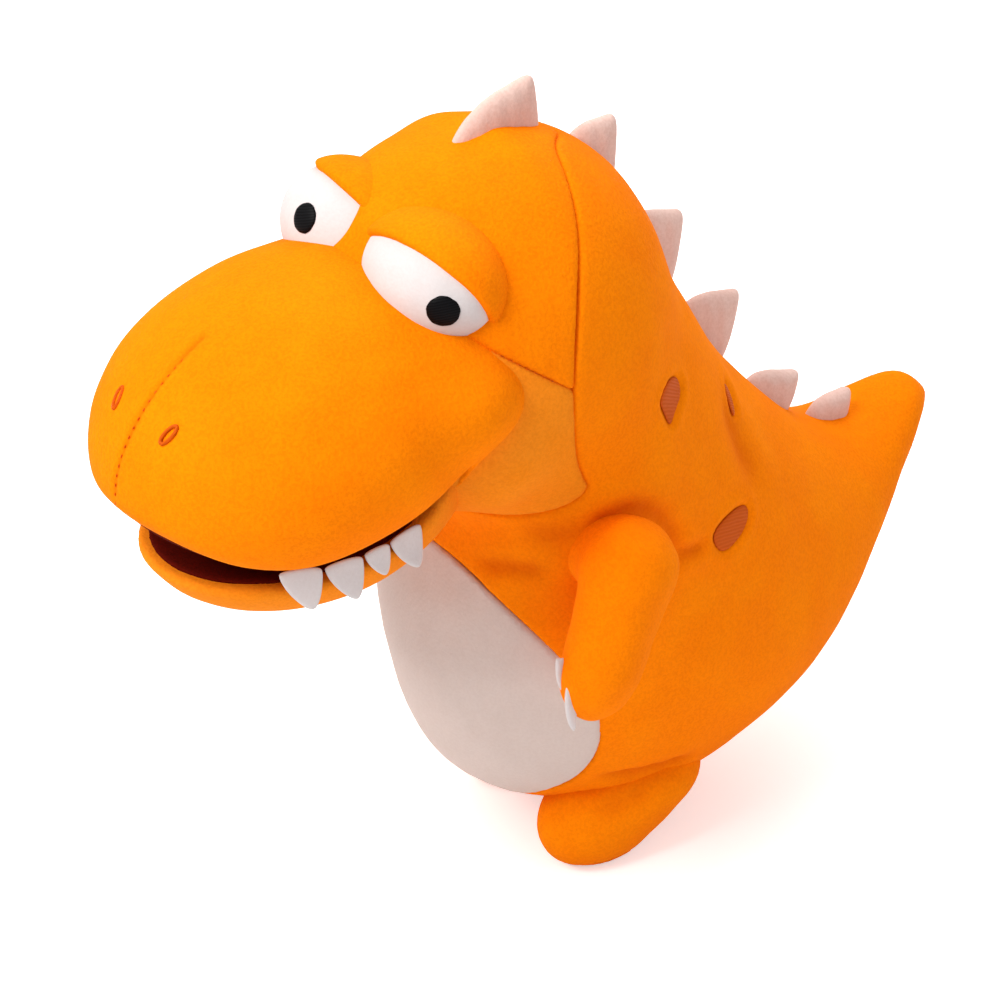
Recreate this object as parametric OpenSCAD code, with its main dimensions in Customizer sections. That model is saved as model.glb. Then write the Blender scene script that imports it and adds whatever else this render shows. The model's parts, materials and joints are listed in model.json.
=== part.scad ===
// Stuffed plush dinosaur: sewn cloth panels over stuffing, with a nodding head, a jaw, arms, legs and a tail.
// Millimetres. +Z is up, the nose points to -Y, the toy's left side is +X, and the floor is z = 0.

/* [Cloth] */
// Thickness of the plush cloth with its pile
cloth_t = 2; // [1.6:0.1:2.4]
// Gap between the cloth and the stuffing
stuffing_gap = 0.4; // [0.3:0.1:0.6]
// Thickness of the mouth lining
lining_t = 1.5; // [1:0.1:2]
// Thickness of embroidery and sewn-on spots
patch_t = 0.8; // [0.6:0.1:1.2]
// Thickness of the felt teeth and claws
felt_t = 2; // [1.6:0.1:2.4]

/* [Body] */
// Widest width of the body
body_w = 136; // [128:1:136]
// Height of the top edge of the belly panel
belly_top_z = 142; // [136:1:146]
// Widest half width of the belly panel
belly_half_w = 57; // [50:1:60]

/* [Head] */
// Width of the snout
snout_w = 132; // [126:1:134]
// Length of the snout's egg
snout_l = 154; // [150:1:156]
// Height of the snout's egg
snout_h = 98; // [94:1:100]
// Radius of the back of the head
crown_r = 66; // [64:1:67]
// Radius of each eyeball across the face
eye_r = 24; // [22:0.5:25]
// Distance of each eye's middle from the face's middle
eye_x = 25; // [24:0.5:27]
// Radius of each pupil
pupil_r = 6; // [4:0.5:7]

/* [Jaw] */
// Width of the jaw
jaw_w = 104; // [98:1:106]
// Length of the jaw's egg
jaw_l = 132; // [128:1:134]
// Width of each tooth at its root
tooth_w = 14; // [10:1:15]
// Length of each tooth
tooth_l = 17; // [12:1:18]

/* [Limbs] */
// Distance of the arm's flat inner side from the middle
arm_inner_x = 69.2; // [69:0.1:71]
// Distance of each leg's middle from the toy's middle
leg_x = 33.5; // [33:0.5:38]

/* [Trim] */
// Thickness of the padded back spikes
spike_t = 9; // [6:1:10]

/* [Joints] */
// Free angle left between the head and the body
neck_gap = 7; // [6.5:0.5:8]
// Free angle left on each side between the tail and the body
tail_gap = 13; // [12.5:0.5:14]

/* [Hidden] */

LEFT = 1;
RIGHT = -1;
FAR = 400;              // larger than the toy
ORANGE = "orange";
FELT = "mistyrose";
sides = 20;             // sides of each ring of the body
egg_fn = 24;            // fineness of the egg-shaped forms
core = cloth_t + stuffing_gap;

// Joint lines: points [y, z] that the joint axes pass through
NECK = [-40, 237];
JAW = [-86, 204];
TAIL_Y = 118;

// Rings of the body from the crown to the tail's tip: back [y, z], belly [y, z], share of the width
BODY = [
    [-34, 302, -60, 176, 0.82],
    [6, 279, -64, 150, 0.90],
    [37, 234, -70, 120, 0.94],
    [66, 189, -68, 84, 0.97],
    [102, 150, -50, 38, 1.00],
    [123, 134, 6, 11, 0.94],
    [137, 128, 70, 24, 0.76],
    [150, 127, 116, 55, 0.55],
    [164, 130, 152, 86, 0.36],
    [179, 132, 178, 108, 0.19],
    [189, 124, 188, 116, 0.06]];

// Egg-shaped forms: middle, half sizes, forward tilt
SNOUT = [[0, -117, 225], [snout_w / 2, snout_l / 2, snout_h / 2], 13];
CROWN = [[0, -40, 239], [crown_r, crown_r, crown_r], 0];
CHEEKS = [[0, -63, 214], [62, 34, 42], 0];
CHIN = [[0, -116, 198], [jaw_w / 2, jaw_l / 2, 42.5], 8];
PELLETS = [[0, 34, 58], [40, 42, 27], -30];

// Side outline of the roof of the mouth, from the lip to the hinge, and of the jaw's top below it
PALATE = [[-210, 216], [-191, 209], [-180, 203], [-167, 197], [-151, 193], [-134, 192], [-113, 195],
    [-97, 200], JAW];
JAW_TOP = [[-210, 182], [-176, 182.5], [-152, 183], [-134, 185.5], [-113, 190], [-97, 196],
    [JAW.x - 4, JAW.y - 3]];

// Curve through four values, for the stretch between the middle two
function curve(a, b, c, d, t) =
    0.5 * (2 * b + (c - a) * t + (2 * a - 5 * b + 4 * c - d) * t * t + (3 * b - a - 3 * c + d) * t * t * t);
function clamped(v, i) = v[max(0, min(len(v) - 1, i))];
function smoothed(v, n) = concat(
    [for (i = [0:len(v) - 2], k = [0:n - 1])
        curve(clamped(v, i - 1), v[i], v[i + 1], clamped(v, i + 2), k / n)],
    [v[len(v) - 1]]);

// One ring of the body, pulled in by inset
function ring(s, inset) =
    let (back = [s[0], s[1]], belly = [s[2], s[3]], middle = (back + belly) / 2)
    let (half = norm(back - belly) / 2, up = (back - belly) / (2 * half))
    let (across = max(s[4] * body_w / 2 - inset, 1), tall = max(half - inset, 1))
    [for (i = [0:sides - 1])
        let (p = middle + up * tall * cos(360 * i / sides))
        [across * sin(360 * i / sides), p.x, p.y]];

// Pie slice [y, z] about a joint line, from angle a to angle b
function slice(p, a, b) = concat([p], [for (i = [0:8]) p + FAR * [cos(a + (b - a) * i / 8), sin(a + (b - a) * i / 8)]]);

// Angles about the neck's line: the crown seam, and the throat
NECK_TOP = 59;
NECK_THROAT = 246;

module loft(rings) {
    n = len(rings[0]);
    m = len(rings);
    points = [for (r = rings) each r];
    walls = [for (i = [0:m - 2], j = [0:n - 1])
        let (a = i * n + j, b = i * n + (j + 1) % n)
        each [[a, a + n, b], [b, a + n, b + n]]];
    ends = [[for (j = [0:n - 1]) j], [for (j = [n - 1:-1:0]) (m - 1) * n + j]];
    polyhedron(points, concat(walls, ends), convexity = 4);
}

// The body and tail as one form; the inner forms stop short of the outer one's ends
module body_form(inset = 0) {
    all = smoothed(BODY, 3);
    last = inset > 1 ? len(all) - 3 : len(all) - 1;
    loft([for (i = [0:last]) ring(all[i], inset)]);
}

module egg(form, grow = 0) {
    r = form[1];
    translate(form[0]) rotate([form[2], 0, 0]) scale([r.x + grow, r.y + grow, r.z + grow]) sphere(r = 1, $fn = egg_fn);
}

// A side outline [y, z] drawn across the toy from x = from to x = to
module across(outline, from = -FAR / 2, to = FAR / 2) {
    rotate([90, 0, 90]) translate([0, 0, from]) linear_extrude(to - from) polygon(outline);
}

// One side of the toy
module half(side) {
    translate([side > 0 ? 0 : -FAR, -FAR, -FAR]) cube([FAR, 2 * FAR, 2 * FAR]);
}

// Sewn cloth and stuffing are each one closed skin
module sewn() {
    resize([0, 0, 0]) children();
}

module paired(side) {
    mirror([side > 0 ? 0 : 1, 0, 0]) children();
}

// Where the head is, where the jaw is, and where the body is
module head_space() {
    difference() {
        across(slice(NECK, NECK_TOP, NECK_THROAT));
        across(concat(PALATE, [[JAW.x + 6, JAW.y - 12], [JAW.x + 18, 0], [-FAR, 0], [-FAR, 200]]));
    }
}

module jaw_space(drop = 0) {
    across(concat([for (p = JAW_TOP) [p.x, p.y - drop]], [[JAW.x + 2, 150], [-100, 100], [-210, 100]]));
}

module behind_neck() {
    across(slice(NECK, NECK_THROAT + neck_gap - 360, NECK_TOP - neck_gap));
}

module body_space() {
    difference() {
        behind_neck();
        translate([0, NECK.x, NECK.y]) rotate([0, 90, 0]) cylinder(h = FAR, r = 3, center = true, $fn = 24);
        tail_space(0);
    }
}

// Everything behind the tail's upright hinge line, opened by an angle on each side
module tail_space(open) {
    reach = 100;
    back = reach * tan(open);
    linear_extrude(FAR) polygon([[0, TAIL_Y + (open > 0 ? 0.4 : 0)], [reach, TAIL_Y + back],
        [reach, FAR], [-reach, FAR], [-reach, TAIL_Y + back]]);
}

// Head

module head_form(inset) {
    egg(SNOUT, -inset);
    skull_form(inset);
}

module skull_form(inset) {
    egg(CROWN, -inset);
    egg(CHEEKS, -inset);
}

// The seam between the brow and the cheek strip
module cheek_space() {
    across([[-120, 288], [-54, 239], [-30, 221], [40, 180], [40, 0], [-120, 0]]);
}

module eye_form(side, grow = 0) {
    egg([[side * eye_x, -78, 271.5], [eye_r, eye_r - 0.5, eye_r - 1], 0], grow);
}

module both_eyes(grow) {
    eye_form(LEFT, grow);
    eye_form(RIGHT, grow);
}

module snout_panel(side) {
    color(ORANGE) sewn() difference() {
        intersection() {
            egg(SNOUT);
            half(side);
            head_space();
        }
        egg(SNOUT, -cloth_t);
        skull_form(0);
        both_eyes(0.3);
    }
}

module crown_panel(side) {
    color(ORANGE) sewn() difference() {
        intersection() {
            skull_form(0);
            half(side);
            head_space();
        }
        skull_form(cloth_t);
        egg(SNOUT);
        both_eyes(0.3);
        cheek_space();
    }
}

module cheek_panel(side) {
    color("darkorange") sewn() difference() {
        intersection() {
            skull_form(0);
            half(side);
            head_space();
            cheek_space();
        }
        skull_form(cloth_t);
        egg(SNOUT);
        both_eyes(0.3);
    }
}

module mouth_lining() {
    color("darkred") sewn() difference() {
        intersection() {
            egg(SNOUT, -core);
            head_space();
            across(concat([for (p = PALATE) [p.x, p.y + lining_t]], [[JAW.x, 100], [-210, 100]]));
        }
        both_eyes(0.3);
    }
}

module head_stuffing() {
    color("white") sewn() difference() {
        intersection() {
            head_form(core);
            head_space();
        }
        across(concat([for (p = PALATE) [p.x, p.y + lining_t + stuffing_gap]], [[JAW.x, 100], [-210, 100]]));
        both_eyes(0.6);
        // Keep the open back of the head flat behind the snout's cut
        translate([0, NECK.x, NECK.y]) rotate([0, 90, 0]) cylinder(h = FAR, r = 1, center = true, $fn = 24);
    }
}

module eye(side) {
    color("whitesmoke") sewn() eye_form(side);
}

module eyelid(side) {
    color(ORANGE) sewn() difference() {
        eye_form(side, cloth_t);
        eye_form(side, 0.1);
        egg(SNOUT);
        egg(CROWN);
        // The lid's edge is a slanting cut from the inner corner over the top to the outer corner
        paired(side) translate([32, -92, 292]) rotate([0, 0, 15]) rotate([-60, 0, 0])
            translate([-FAR / 2, -FAR / 2, -FAR]) cube(FAR);
    }
}

module pupil(side) {
    aim_out = 42;
    aim_up = 6;
    color("black") sewn() intersection() {
        difference() {
            eye_form(side, patch_t);
            eye_form(side);
        }
        paired(side) translate([eye_x, -78, 271.5]) rotate([0, 0, aim_out]) rotate([90 - aim_up, 0, 0])
            cylinder(h = 2 * eye_r, r = pupil_r, $fn = 24);
    }
}

module nostril(side) {
    color("chocolate") sewn() intersection() {
        difference() {
            egg(SNOUT, patch_t);
            egg(SNOUT);
        }
        paired(side) translate([15, -178, 241]) rotate([0, 0, 20]) rotate([60, 0, 0]) rotate([0, 0, 35])
            scale([1.25, 0.5, 1]) cylinder(h = 40, r = 4, center = true, $fn = 20);
    }
}

// Four felt teeth hang from the lip outside the jaw: [y of the root's middle, share of the size, step inwards]
TEETH = [[-149.5, 1, 0], [-135, 1, 0], [-122.5, 0.7, 0], [-111, 0.9, 0]];

module teeth(side) {
    clear = 2;
    root_z = 190;
    color(FELT) paired(side) for (t = TEETH) {
        front = t[0] - t[1] * tooth_w / 2;
        back = t[0] + t[1] * tooth_w / 2;
        tip = root_z + 2 - t[1] * tooth_l;
        sewn() difference() {
            intersection() {
                across([[front, 210], [back, 210], [back, root_z], [t[0] + 5, tip + 1], [t[0] + 2, tip], [front, root_z - 2]], 0, FAR);
                ring_wall(clear + t[2], felt_t);
            }
            across(concat(PALATE, [[JAW.x, FAR], [-210, FAR]]));
        }
    }
}

// Upright wall of the jaw's own outline, seen from above
module ring_wall(clear, thick) {
    translate([0, CHIN[0].y, 120]) linear_extrude(120) difference() {
        scale([CHIN[1].x - 3 + clear + thick, CHIN[1].y + clear + thick]) circle(r = 1, $fn = 48);
        scale([CHIN[1].x - 3 + clear, CHIN[1].y + clear]) circle(r = 1, $fn = 48);
    }
}

// Jaw

module jaw_cover() {
    color(ORANGE) sewn() difference() {
        intersection() {
            egg(CHIN);
            jaw_space();
            across(slice(NECK, NECK_TOP, NECK_THROAT));
        }
        ahead_of_hinge(cloth_t) egg(CHIN, -cloth_t);
    }
}

// Only what lies ahead of the jaw's hinge, less a margin
module ahead_of_hinge(margin) {
    intersection() {
        children();
        across([[-FAR, 0], [JAW.x - margin, 0], [JAW.x - margin, FAR], [-FAR, FAR]]);
    }
}

module jaw_lining() {
    color("darkred") sewn() difference() {
        ahead_of_hinge(core + 1) intersection() {
            egg(CHIN, -core);
            jaw_space();
        }
        jaw_space(lining_t);
    }
}

module jaw_stuffing() {
    color("white") sewn() ahead_of_hinge(core + 1) intersection() {
        egg(CHIN, -core);
        jaw_space(lining_t + stuffing_gap);
    }
}

// Body

// The belly panel's edge, an egg shape seen from the front
module belly_space(edge = 0) {
    low_z = 16;
    middle_z = (belly_top_z + low_z) / 2;
    translate([0, 20, middle_z]) rotate([90, 0, 0]) linear_extrude(FAR)
        scale([belly_half_w + edge, (belly_top_z - low_z) / 2 + edge]) circle(r = 1, $fn = 40);
}

module skin(inset_from, inset_to) {
    difference() {
        body_form(inset_from);
        body_form(inset_to);
    }
}

module back_panel(side) {
    color(ORANGE) sewn() difference() {
        intersection() {
            skin(0, cloth_t);
            half(side);
            body_space();
        }
        belly_space(0.1);
    }
}

module belly_panel() {
    color("linen") sewn() intersection() {
        skin(0, cloth_t);
        body_space();
        belly_space();
    }
}

module body_stuffing() {
    color("white") sewn() difference() {
        intersection() {
            body_form(core);
            body_space();
        }
        egg(PELLETS, 0.3);
        pellet_slot();
    }
}

// The way through the stuffing by which the pellet bag went in
module pellet_slot() {
    translate([0, PELLETS[0][1], 0]) cylinder(r = 6, h = PELLETS[0][2]);
}

module pellet_bag() {
    color("lightgray") sewn() egg(PELLETS);
}

// Shark-fin spikes sewn into the back seam: root's front, root's back, tip, then the points' roundness
module fin(front, back, tip, round = 3) {
    rotate([90, 0, 90]) linear_extrude(spike_t, center = true) offset(r = round, $fn = 24) offset(delta = -round)
        polygon([front + [-4, -14], front, front + (tip - front) * 0.55 + [-3, 3], tip, back, back + [-6, -12]]);
}

module body_spike(front, back, tip) {
    color(FELT) sewn() difference() {
        intersection() {
            fin(front, back, tip);
            behind_neck();
        }
        body_form(-0.05);
    }
}

module spike_crown() {
    color(FELT) sewn() difference() {
        intersection() {
            fin([-50, 306], [-13, 298], [-17, 320]);
            across(slice(NECK, NECK_TOP + 1, NECK_THROAT));
        }
        egg(CROWN, 0.05);
    }
}

module spike_neck() body_spike([-3, 290], [20, 264], [21, 294]);
module spike_shoulder() body_spike([27, 251], [51, 215], [55, 245]);
module spike_back() body_spike([58, 205], [79, 175], [85, 202]);
module spike_rump() body_spike([93, 161], [115, 140], [118, 155]);

module spike_tail() {
    color(FELT) sewn() difference() {
        fin([125, 132], [147, 126], [147, 137], 2);
        body_form(-0.05);
    }
}

// Sewn-on spots: a side outline laid on the body's skin
module spot(outline, side) {
    color("chocolate") sewn() intersection() {
        skin(-patch_t, -0.05);
        paired(side) across(outline, 10, FAR);
        body_space();
    }
}

SPOT_SHOULDER = [[-8, 214], [2, 219], [13, 216], [14, 208], [5, 203], [0, 198], [-4, 206]];
SPOT_BACK = [[46, 192], [52, 190], [51, 180], [46, 178]];
SPOT_FLANK = [[18, 150], [34, 154], [46, 152], [46, 145], [36, 139], [24, 137], [18, 143]];

// Tail

module tail_panel(side) {
    color(ORANGE) sewn() intersection() {
        skin(0, cloth_t);
        half(side);
        tail_space(tail_gap);
    }
}

module tail_stuffing() {
    color("white") sewn() intersection() {
        body_form(core);
        tail_space(tail_gap);
    }
}

// Arms

module arm_form(inset) {
    hull() {
        egg([[73, -31, 157], [18, 19, 21], 0], -inset);
        egg([[80, -46, 128], [13, 15, 22], -20], -inset);
    }
}

module beyond(x) {
    translate([x, -FAR, -FAR]) cube([FAR, 2 * FAR, 2 * FAR]);
}

module arm_outer(side) {
    color(ORANGE) sewn() paired(side) difference() {
        intersection() {
            arm_form(0);
            beyond(arm_inner_x + cloth_t);
        }
        arm_form(cloth_t);
    }
}

// The flat panel on the side that faces the body
module arm_inner(side) {
    color(ORANGE) sewn() paired(side) difference() {
        intersection() {
            arm_form(0);
            beyond(arm_inner_x);
        }
        beyond(arm_inner_x + cloth_t);
    }
}

module arm_stuffing(side) {
    color("white") sewn() paired(side) intersection() {
        arm_form(core);
        beyond(arm_inner_x + core);
    }
}

// Felt claws at the front of the hand: [x, y, z] of the root, length, lean
CLAWS = [[74, -57, 120, 14, -10], [80, -54, 114, 14, 12]];

module claws(side) {
    color(FELT) sewn() paired(side) for (c = CLAWS) difference() {
        translate([c[0], c[1], c[2]]) rotate([c[4] - 28, 0, 0]) rotate([90, 0, 90]) linear_extrude(felt_t)
            scale([0.45, 1]) circle(r = c[3], $fn = 20);
        arm_form(-0.05);
        translate([-FAR, c[1] + 4, -FAR]) cube(2 * FAR);
    }
}

// Legs

LEG_HINGE = [40, 30];

module leg_form(inset) {
    difference() {
        hull() {
            egg([[leg_x, -5, 17.5], [19.5, 29, 21], 6], -inset);
            egg([[leg_x + 5, 11, 28], [18, 25, 16], 14], -inset);
        }
        below(inset);
        body_form(-0.6 - inset);
        behind_hinge(inset);
    }
}

module below(z) {
    translate([-FAR, -FAR, z - 2 * FAR]) cube(2 * FAR);
}

// The leg stays ahead of its hinge line, so that it only swings away from the body
module behind_hinge(inset) {
    translate([-FAR, LEG_HINGE.x - 2 - inset, -FAR]) cube(2 * FAR);
}

module leg_cover(side) {
    color(ORANGE) sewn() paired(side) difference() {
        leg_form(0);
        below(cloth_t);
        leg_form(cloth_t);
    }
}

// The flat sole that the toy stands on
module sole(side) {
    color(ORANGE) sewn() paired(side) intersection() {
        leg_form(0);
        below(cloth_t);
    }
}

module leg_stuffing(side) {
    color("white") sewn() paired(side) leg_form(core);
}

snout_panel(LEFT);  // snout_left
snout_panel(RIGHT);  // snout_right
crown_panel(LEFT);  // crown_left
crown_panel(RIGHT);  // crown_right
cheek_panel(LEFT);  // cheek_left
cheek_panel(RIGHT);  // cheek_right
mouth_lining();
head_stuffing();
eye(LEFT);  // eye_left
eye(RIGHT);  // eye_right
eyelid(LEFT);  // eyelid_left
eyelid(RIGHT);  // eyelid_right
pupil(LEFT);  // pupil_left
pupil(RIGHT);  // pupil_right
nostril(LEFT);  // nostril_left
nostril(RIGHT);  // nostril_right
teeth(LEFT);  // teeth_left
teeth(RIGHT);  // teeth_right
spike_crown();
jaw_cover();
jaw_lining();
jaw_stuffing();
back_panel(LEFT);  // back_left
back_panel(RIGHT);  // back_right
belly_panel();
body_stuffing();
pellet_bag();
spike_neck();
spike_shoulder();
spike_back();
spike_rump();
spot(SPOT_SHOULDER, LEFT);  // spot_shoulder_left
spot(SPOT_SHOULDER, RIGHT);  // spot_shoulder_right
spot(SPOT_BACK, LEFT);  // spot_back_left
spot(SPOT_BACK, RIGHT);  // spot_back_right
spot(SPOT_FLANK, LEFT);  // spot_flank_left
spot(SPOT_FLANK, RIGHT);  // spot_flank_right
tail_panel(LEFT);  // tail_left
tail_panel(RIGHT);  // tail_right
tail_stuffing();
spike_tail();
arm_outer(LEFT);  // arm_outer_left
arm_outer(RIGHT);  // arm_outer_right
arm_inner(LEFT);  // arm_inner_left
arm_inner(RIGHT);  // arm_inner_right
arm_stuffing(LEFT);  // arm_stuffing_left
arm_stuffing(RIGHT);  // arm_stuffing_right
claws(LEFT);  // claws_left
claws(RIGHT);  // claws_right
leg_cover(LEFT);  // leg_cover_left
leg_cover(RIGHT);  // leg_cover_right
sole(LEFT);  // sole_left
sole(RIGHT);  // sole_right
leg_stuffing(LEFT);  // leg_stuffing_left
leg_stuffing(RIGHT);  // leg_stuffing_right
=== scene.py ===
"""Stuffed plush dinosaur: the sewn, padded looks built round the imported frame.

Shapes are worked out in millimetres in the frame's own axes: +Z up, the nose towards -Y and the toy's
left side at +X. Each sewn piece is a closed solid cut from one padded form, so that two pieces meet in a
soft valley along their seam. Only the body's cover is open, where its two lengths join.
"""

import json
import logging
import math
from dataclasses import dataclass, field
from enum import Enum
from typing import Sequence

import bmesh
import bpy
import numpy as np
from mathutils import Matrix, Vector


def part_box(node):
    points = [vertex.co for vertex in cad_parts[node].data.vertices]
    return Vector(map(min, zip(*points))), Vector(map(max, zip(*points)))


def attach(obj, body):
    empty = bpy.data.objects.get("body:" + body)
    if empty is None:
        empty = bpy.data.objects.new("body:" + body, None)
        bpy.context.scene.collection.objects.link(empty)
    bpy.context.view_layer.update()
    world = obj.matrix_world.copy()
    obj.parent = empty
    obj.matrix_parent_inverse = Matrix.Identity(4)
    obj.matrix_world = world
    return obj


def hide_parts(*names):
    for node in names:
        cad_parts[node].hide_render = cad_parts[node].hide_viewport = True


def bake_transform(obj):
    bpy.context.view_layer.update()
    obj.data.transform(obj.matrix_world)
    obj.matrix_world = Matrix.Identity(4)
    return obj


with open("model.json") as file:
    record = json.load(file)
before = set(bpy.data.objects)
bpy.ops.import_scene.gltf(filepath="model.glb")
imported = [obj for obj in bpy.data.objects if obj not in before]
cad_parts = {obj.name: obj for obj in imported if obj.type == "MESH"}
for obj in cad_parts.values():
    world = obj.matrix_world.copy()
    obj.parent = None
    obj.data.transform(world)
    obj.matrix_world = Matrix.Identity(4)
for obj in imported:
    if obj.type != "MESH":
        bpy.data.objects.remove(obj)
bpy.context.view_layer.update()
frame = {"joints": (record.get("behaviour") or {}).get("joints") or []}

import openvdb
from mathutils import Vector

MM = 0.001
LOG = logging.getLogger("plush")
Point = tuple[float, float, float]
Flat = tuple[float, float]
Colour = tuple[float, float, float, float]
Mesh = tuple[np.ndarray, list[list[int]]]


class Side(Enum):
    """The two sides of the toy, with the sign of their X."""

    LEFT = 1
    RIGHT = -1

    @property
    def word(self) -> str:
        """The side's name as the nodes spell it."""
        return self.name.lower()


class Slot(Enum):
    """The record's material slots."""

    ORANGE = "orange_plush"
    BRUSHED = "brushed_orange_plush"
    PALE = "pale_plush"
    FELT = "pale_felt"
    WHITE = "white_felt"
    LINING = "dark_red_felt"
    BLACK = "black_thread"
    BROWN = "brown_thread"


# ---------------------------------------------------------------- places in the frame


def corner(node: str) -> Point:
    """The lowest corner of a solid's box in mm."""
    return tuple(round(v / MM, 2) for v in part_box(node)[0])


def middle(node: str) -> Point:
    """The middle of a solid's box in mm."""
    return tuple(round((a + b) / 2 / MM, 2) for a, b in zip(*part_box(node)))


def pivot(joint: str) -> Point:
    """A joint's place in mm."""
    found = next(j for j in frame["joints"] if j["name"] == joint)
    return tuple(round(v / MM, 2) for v in found["pos_m"])


def near(anchor: Point, *offset: float) -> Point:
    """The point that lies so many mm from an anchor."""
    return tuple(round(a + b, 3) for a, b in zip(anchor, offset))


NOD = pivot("head_nod")
WAG = pivot("tail_wag")
MOUTH = pivot("jaw_hinge")
SHOULDER = pivot("arm_left_swing")
EYE = middle("eye_left")
SOLE = middle("sole_left")
BELLY = middle("belly_panel")


# ---------------------------------------------------------------- forms as fields


def smooth_max(a: np.ndarray, b: np.ndarray, k: float) -> np.ndarray:
    """The larger of two fields with its corner rounded: where both are inside, the edge is k soft.

    Args:
        a: First field, negative inside.
        b: Second field.
        k: Width of the rounding in mm.

    Returns:
        The rounded intersection.
    """
    h = np.clip(1 - np.abs(a - b) / k, 0, None)
    return np.maximum(a, b) + h * h * k / 4


def smooth_min(a: np.ndarray, b: np.ndarray, k: float) -> np.ndarray:
    """The smaller of two fields with a fillet k wide: the rounded union."""
    return -smooth_max(-a, -b, k)


def smooth_step(v: np.ndarray, low: float, high: float) -> np.ndarray:
    """0 at low and 1 at high, with a soft start and end; low may be above high."""
    t = np.clip((v - low) / (high - low), 0, 1)
    return t * t * (3 - 2 * t)


def curve_through(points: Sequence[Sequence[float]], steps: int, closed: bool = False) -> np.ndarray:
    """A smooth curve through points (Catmull-Rom).

    Args:
        points: The points to pass through.
        steps: Steps in each stretch.
        closed: Whether the curve runs back to its start.

    Returns:
        The curve's points, one row each.
    """
    p = np.asarray(points, float)
    n = len(p)
    rows = []
    for i in range(n if closed else n - 1):
        around = (i - 1, i, i + 1, i + 2)
        a, b, c, d = (p[j % n] if closed else p[min(max(j, 0), n - 1)] for j in around)
        for t in np.arange(steps) / steps:
            rows.append(0.5 * (2 * b + (c - a) * t + (2 * a - 5 * b + 4 * c - d) * t * t
                               + (3 * b - a - 3 * c + d) * t ** 3))
    if not closed:
        rows.append(p[-1])
    return np.array(rows)


def rounded(outline: Sequence[Flat], times: int = 3) -> np.ndarray:
    """A closed outline with its corners cut off again and again, until they are round."""
    p = np.asarray(outline, float)
    for _ in range(times):
        q = np.roll(p, -1, axis=0)
        p = np.stack([0.75 * p + 0.25 * q, 0.25 * p + 0.75 * q], 1).reshape(-1, 2)
    return p


def lumps(p: np.ndarray, size: float, seed: int) -> np.ndarray:
    """Soft unevenness of stuffing: a smooth random field from about -1 to 1.

    Args:
        p: Points in mm, one row each.
        size: Size of a lump in mm.
        seed: Which random field.

    Returns:
        One value for each point.
    """
    dice = np.random.default_rng(seed)
    total = np.zeros(len(p))
    for _ in range(7):
        way = dice.normal(size=3)
        way *= math.tau / (size * dice.uniform(1.2, 2.6)) / np.linalg.norm(way)
        total += np.sin(p @ way + dice.uniform(0, math.tau))
    return total / 3.2


def stuffing(p: np.ndarray, size: float, seed: int) -> np.ndarray:
    """Large lumps with smaller ones on them, from about -1 to 1."""
    return lumps(p, size, seed) + 0.25 * lumps(p, size / 3, seed + 1)


@dataclass(frozen=True)
class Egg:
    """An egg-shaped form: its middle, half sizes and forward tilt in degrees."""

    middle: Point
    half: Point
    tilt: float = 0.0

    def world(self, q: np.ndarray) -> np.ndarray:
        """Points in the egg's own axes back in the frame."""
        c, s = math.cos(math.radians(self.tilt)), math.sin(math.radians(self.tilt))
        turned = np.stack([q[:, 0], q[:, 1] * c - q[:, 2] * s, q[:, 1] * s + q[:, 2] * c], 1)
        return turned + np.array(self.middle)

    def mirrored(self) -> "Egg":
        """The same egg on the other side of the toy."""
        x, y, z = self.middle
        return Egg((-x, y, z), self.half, self.tilt)


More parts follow.
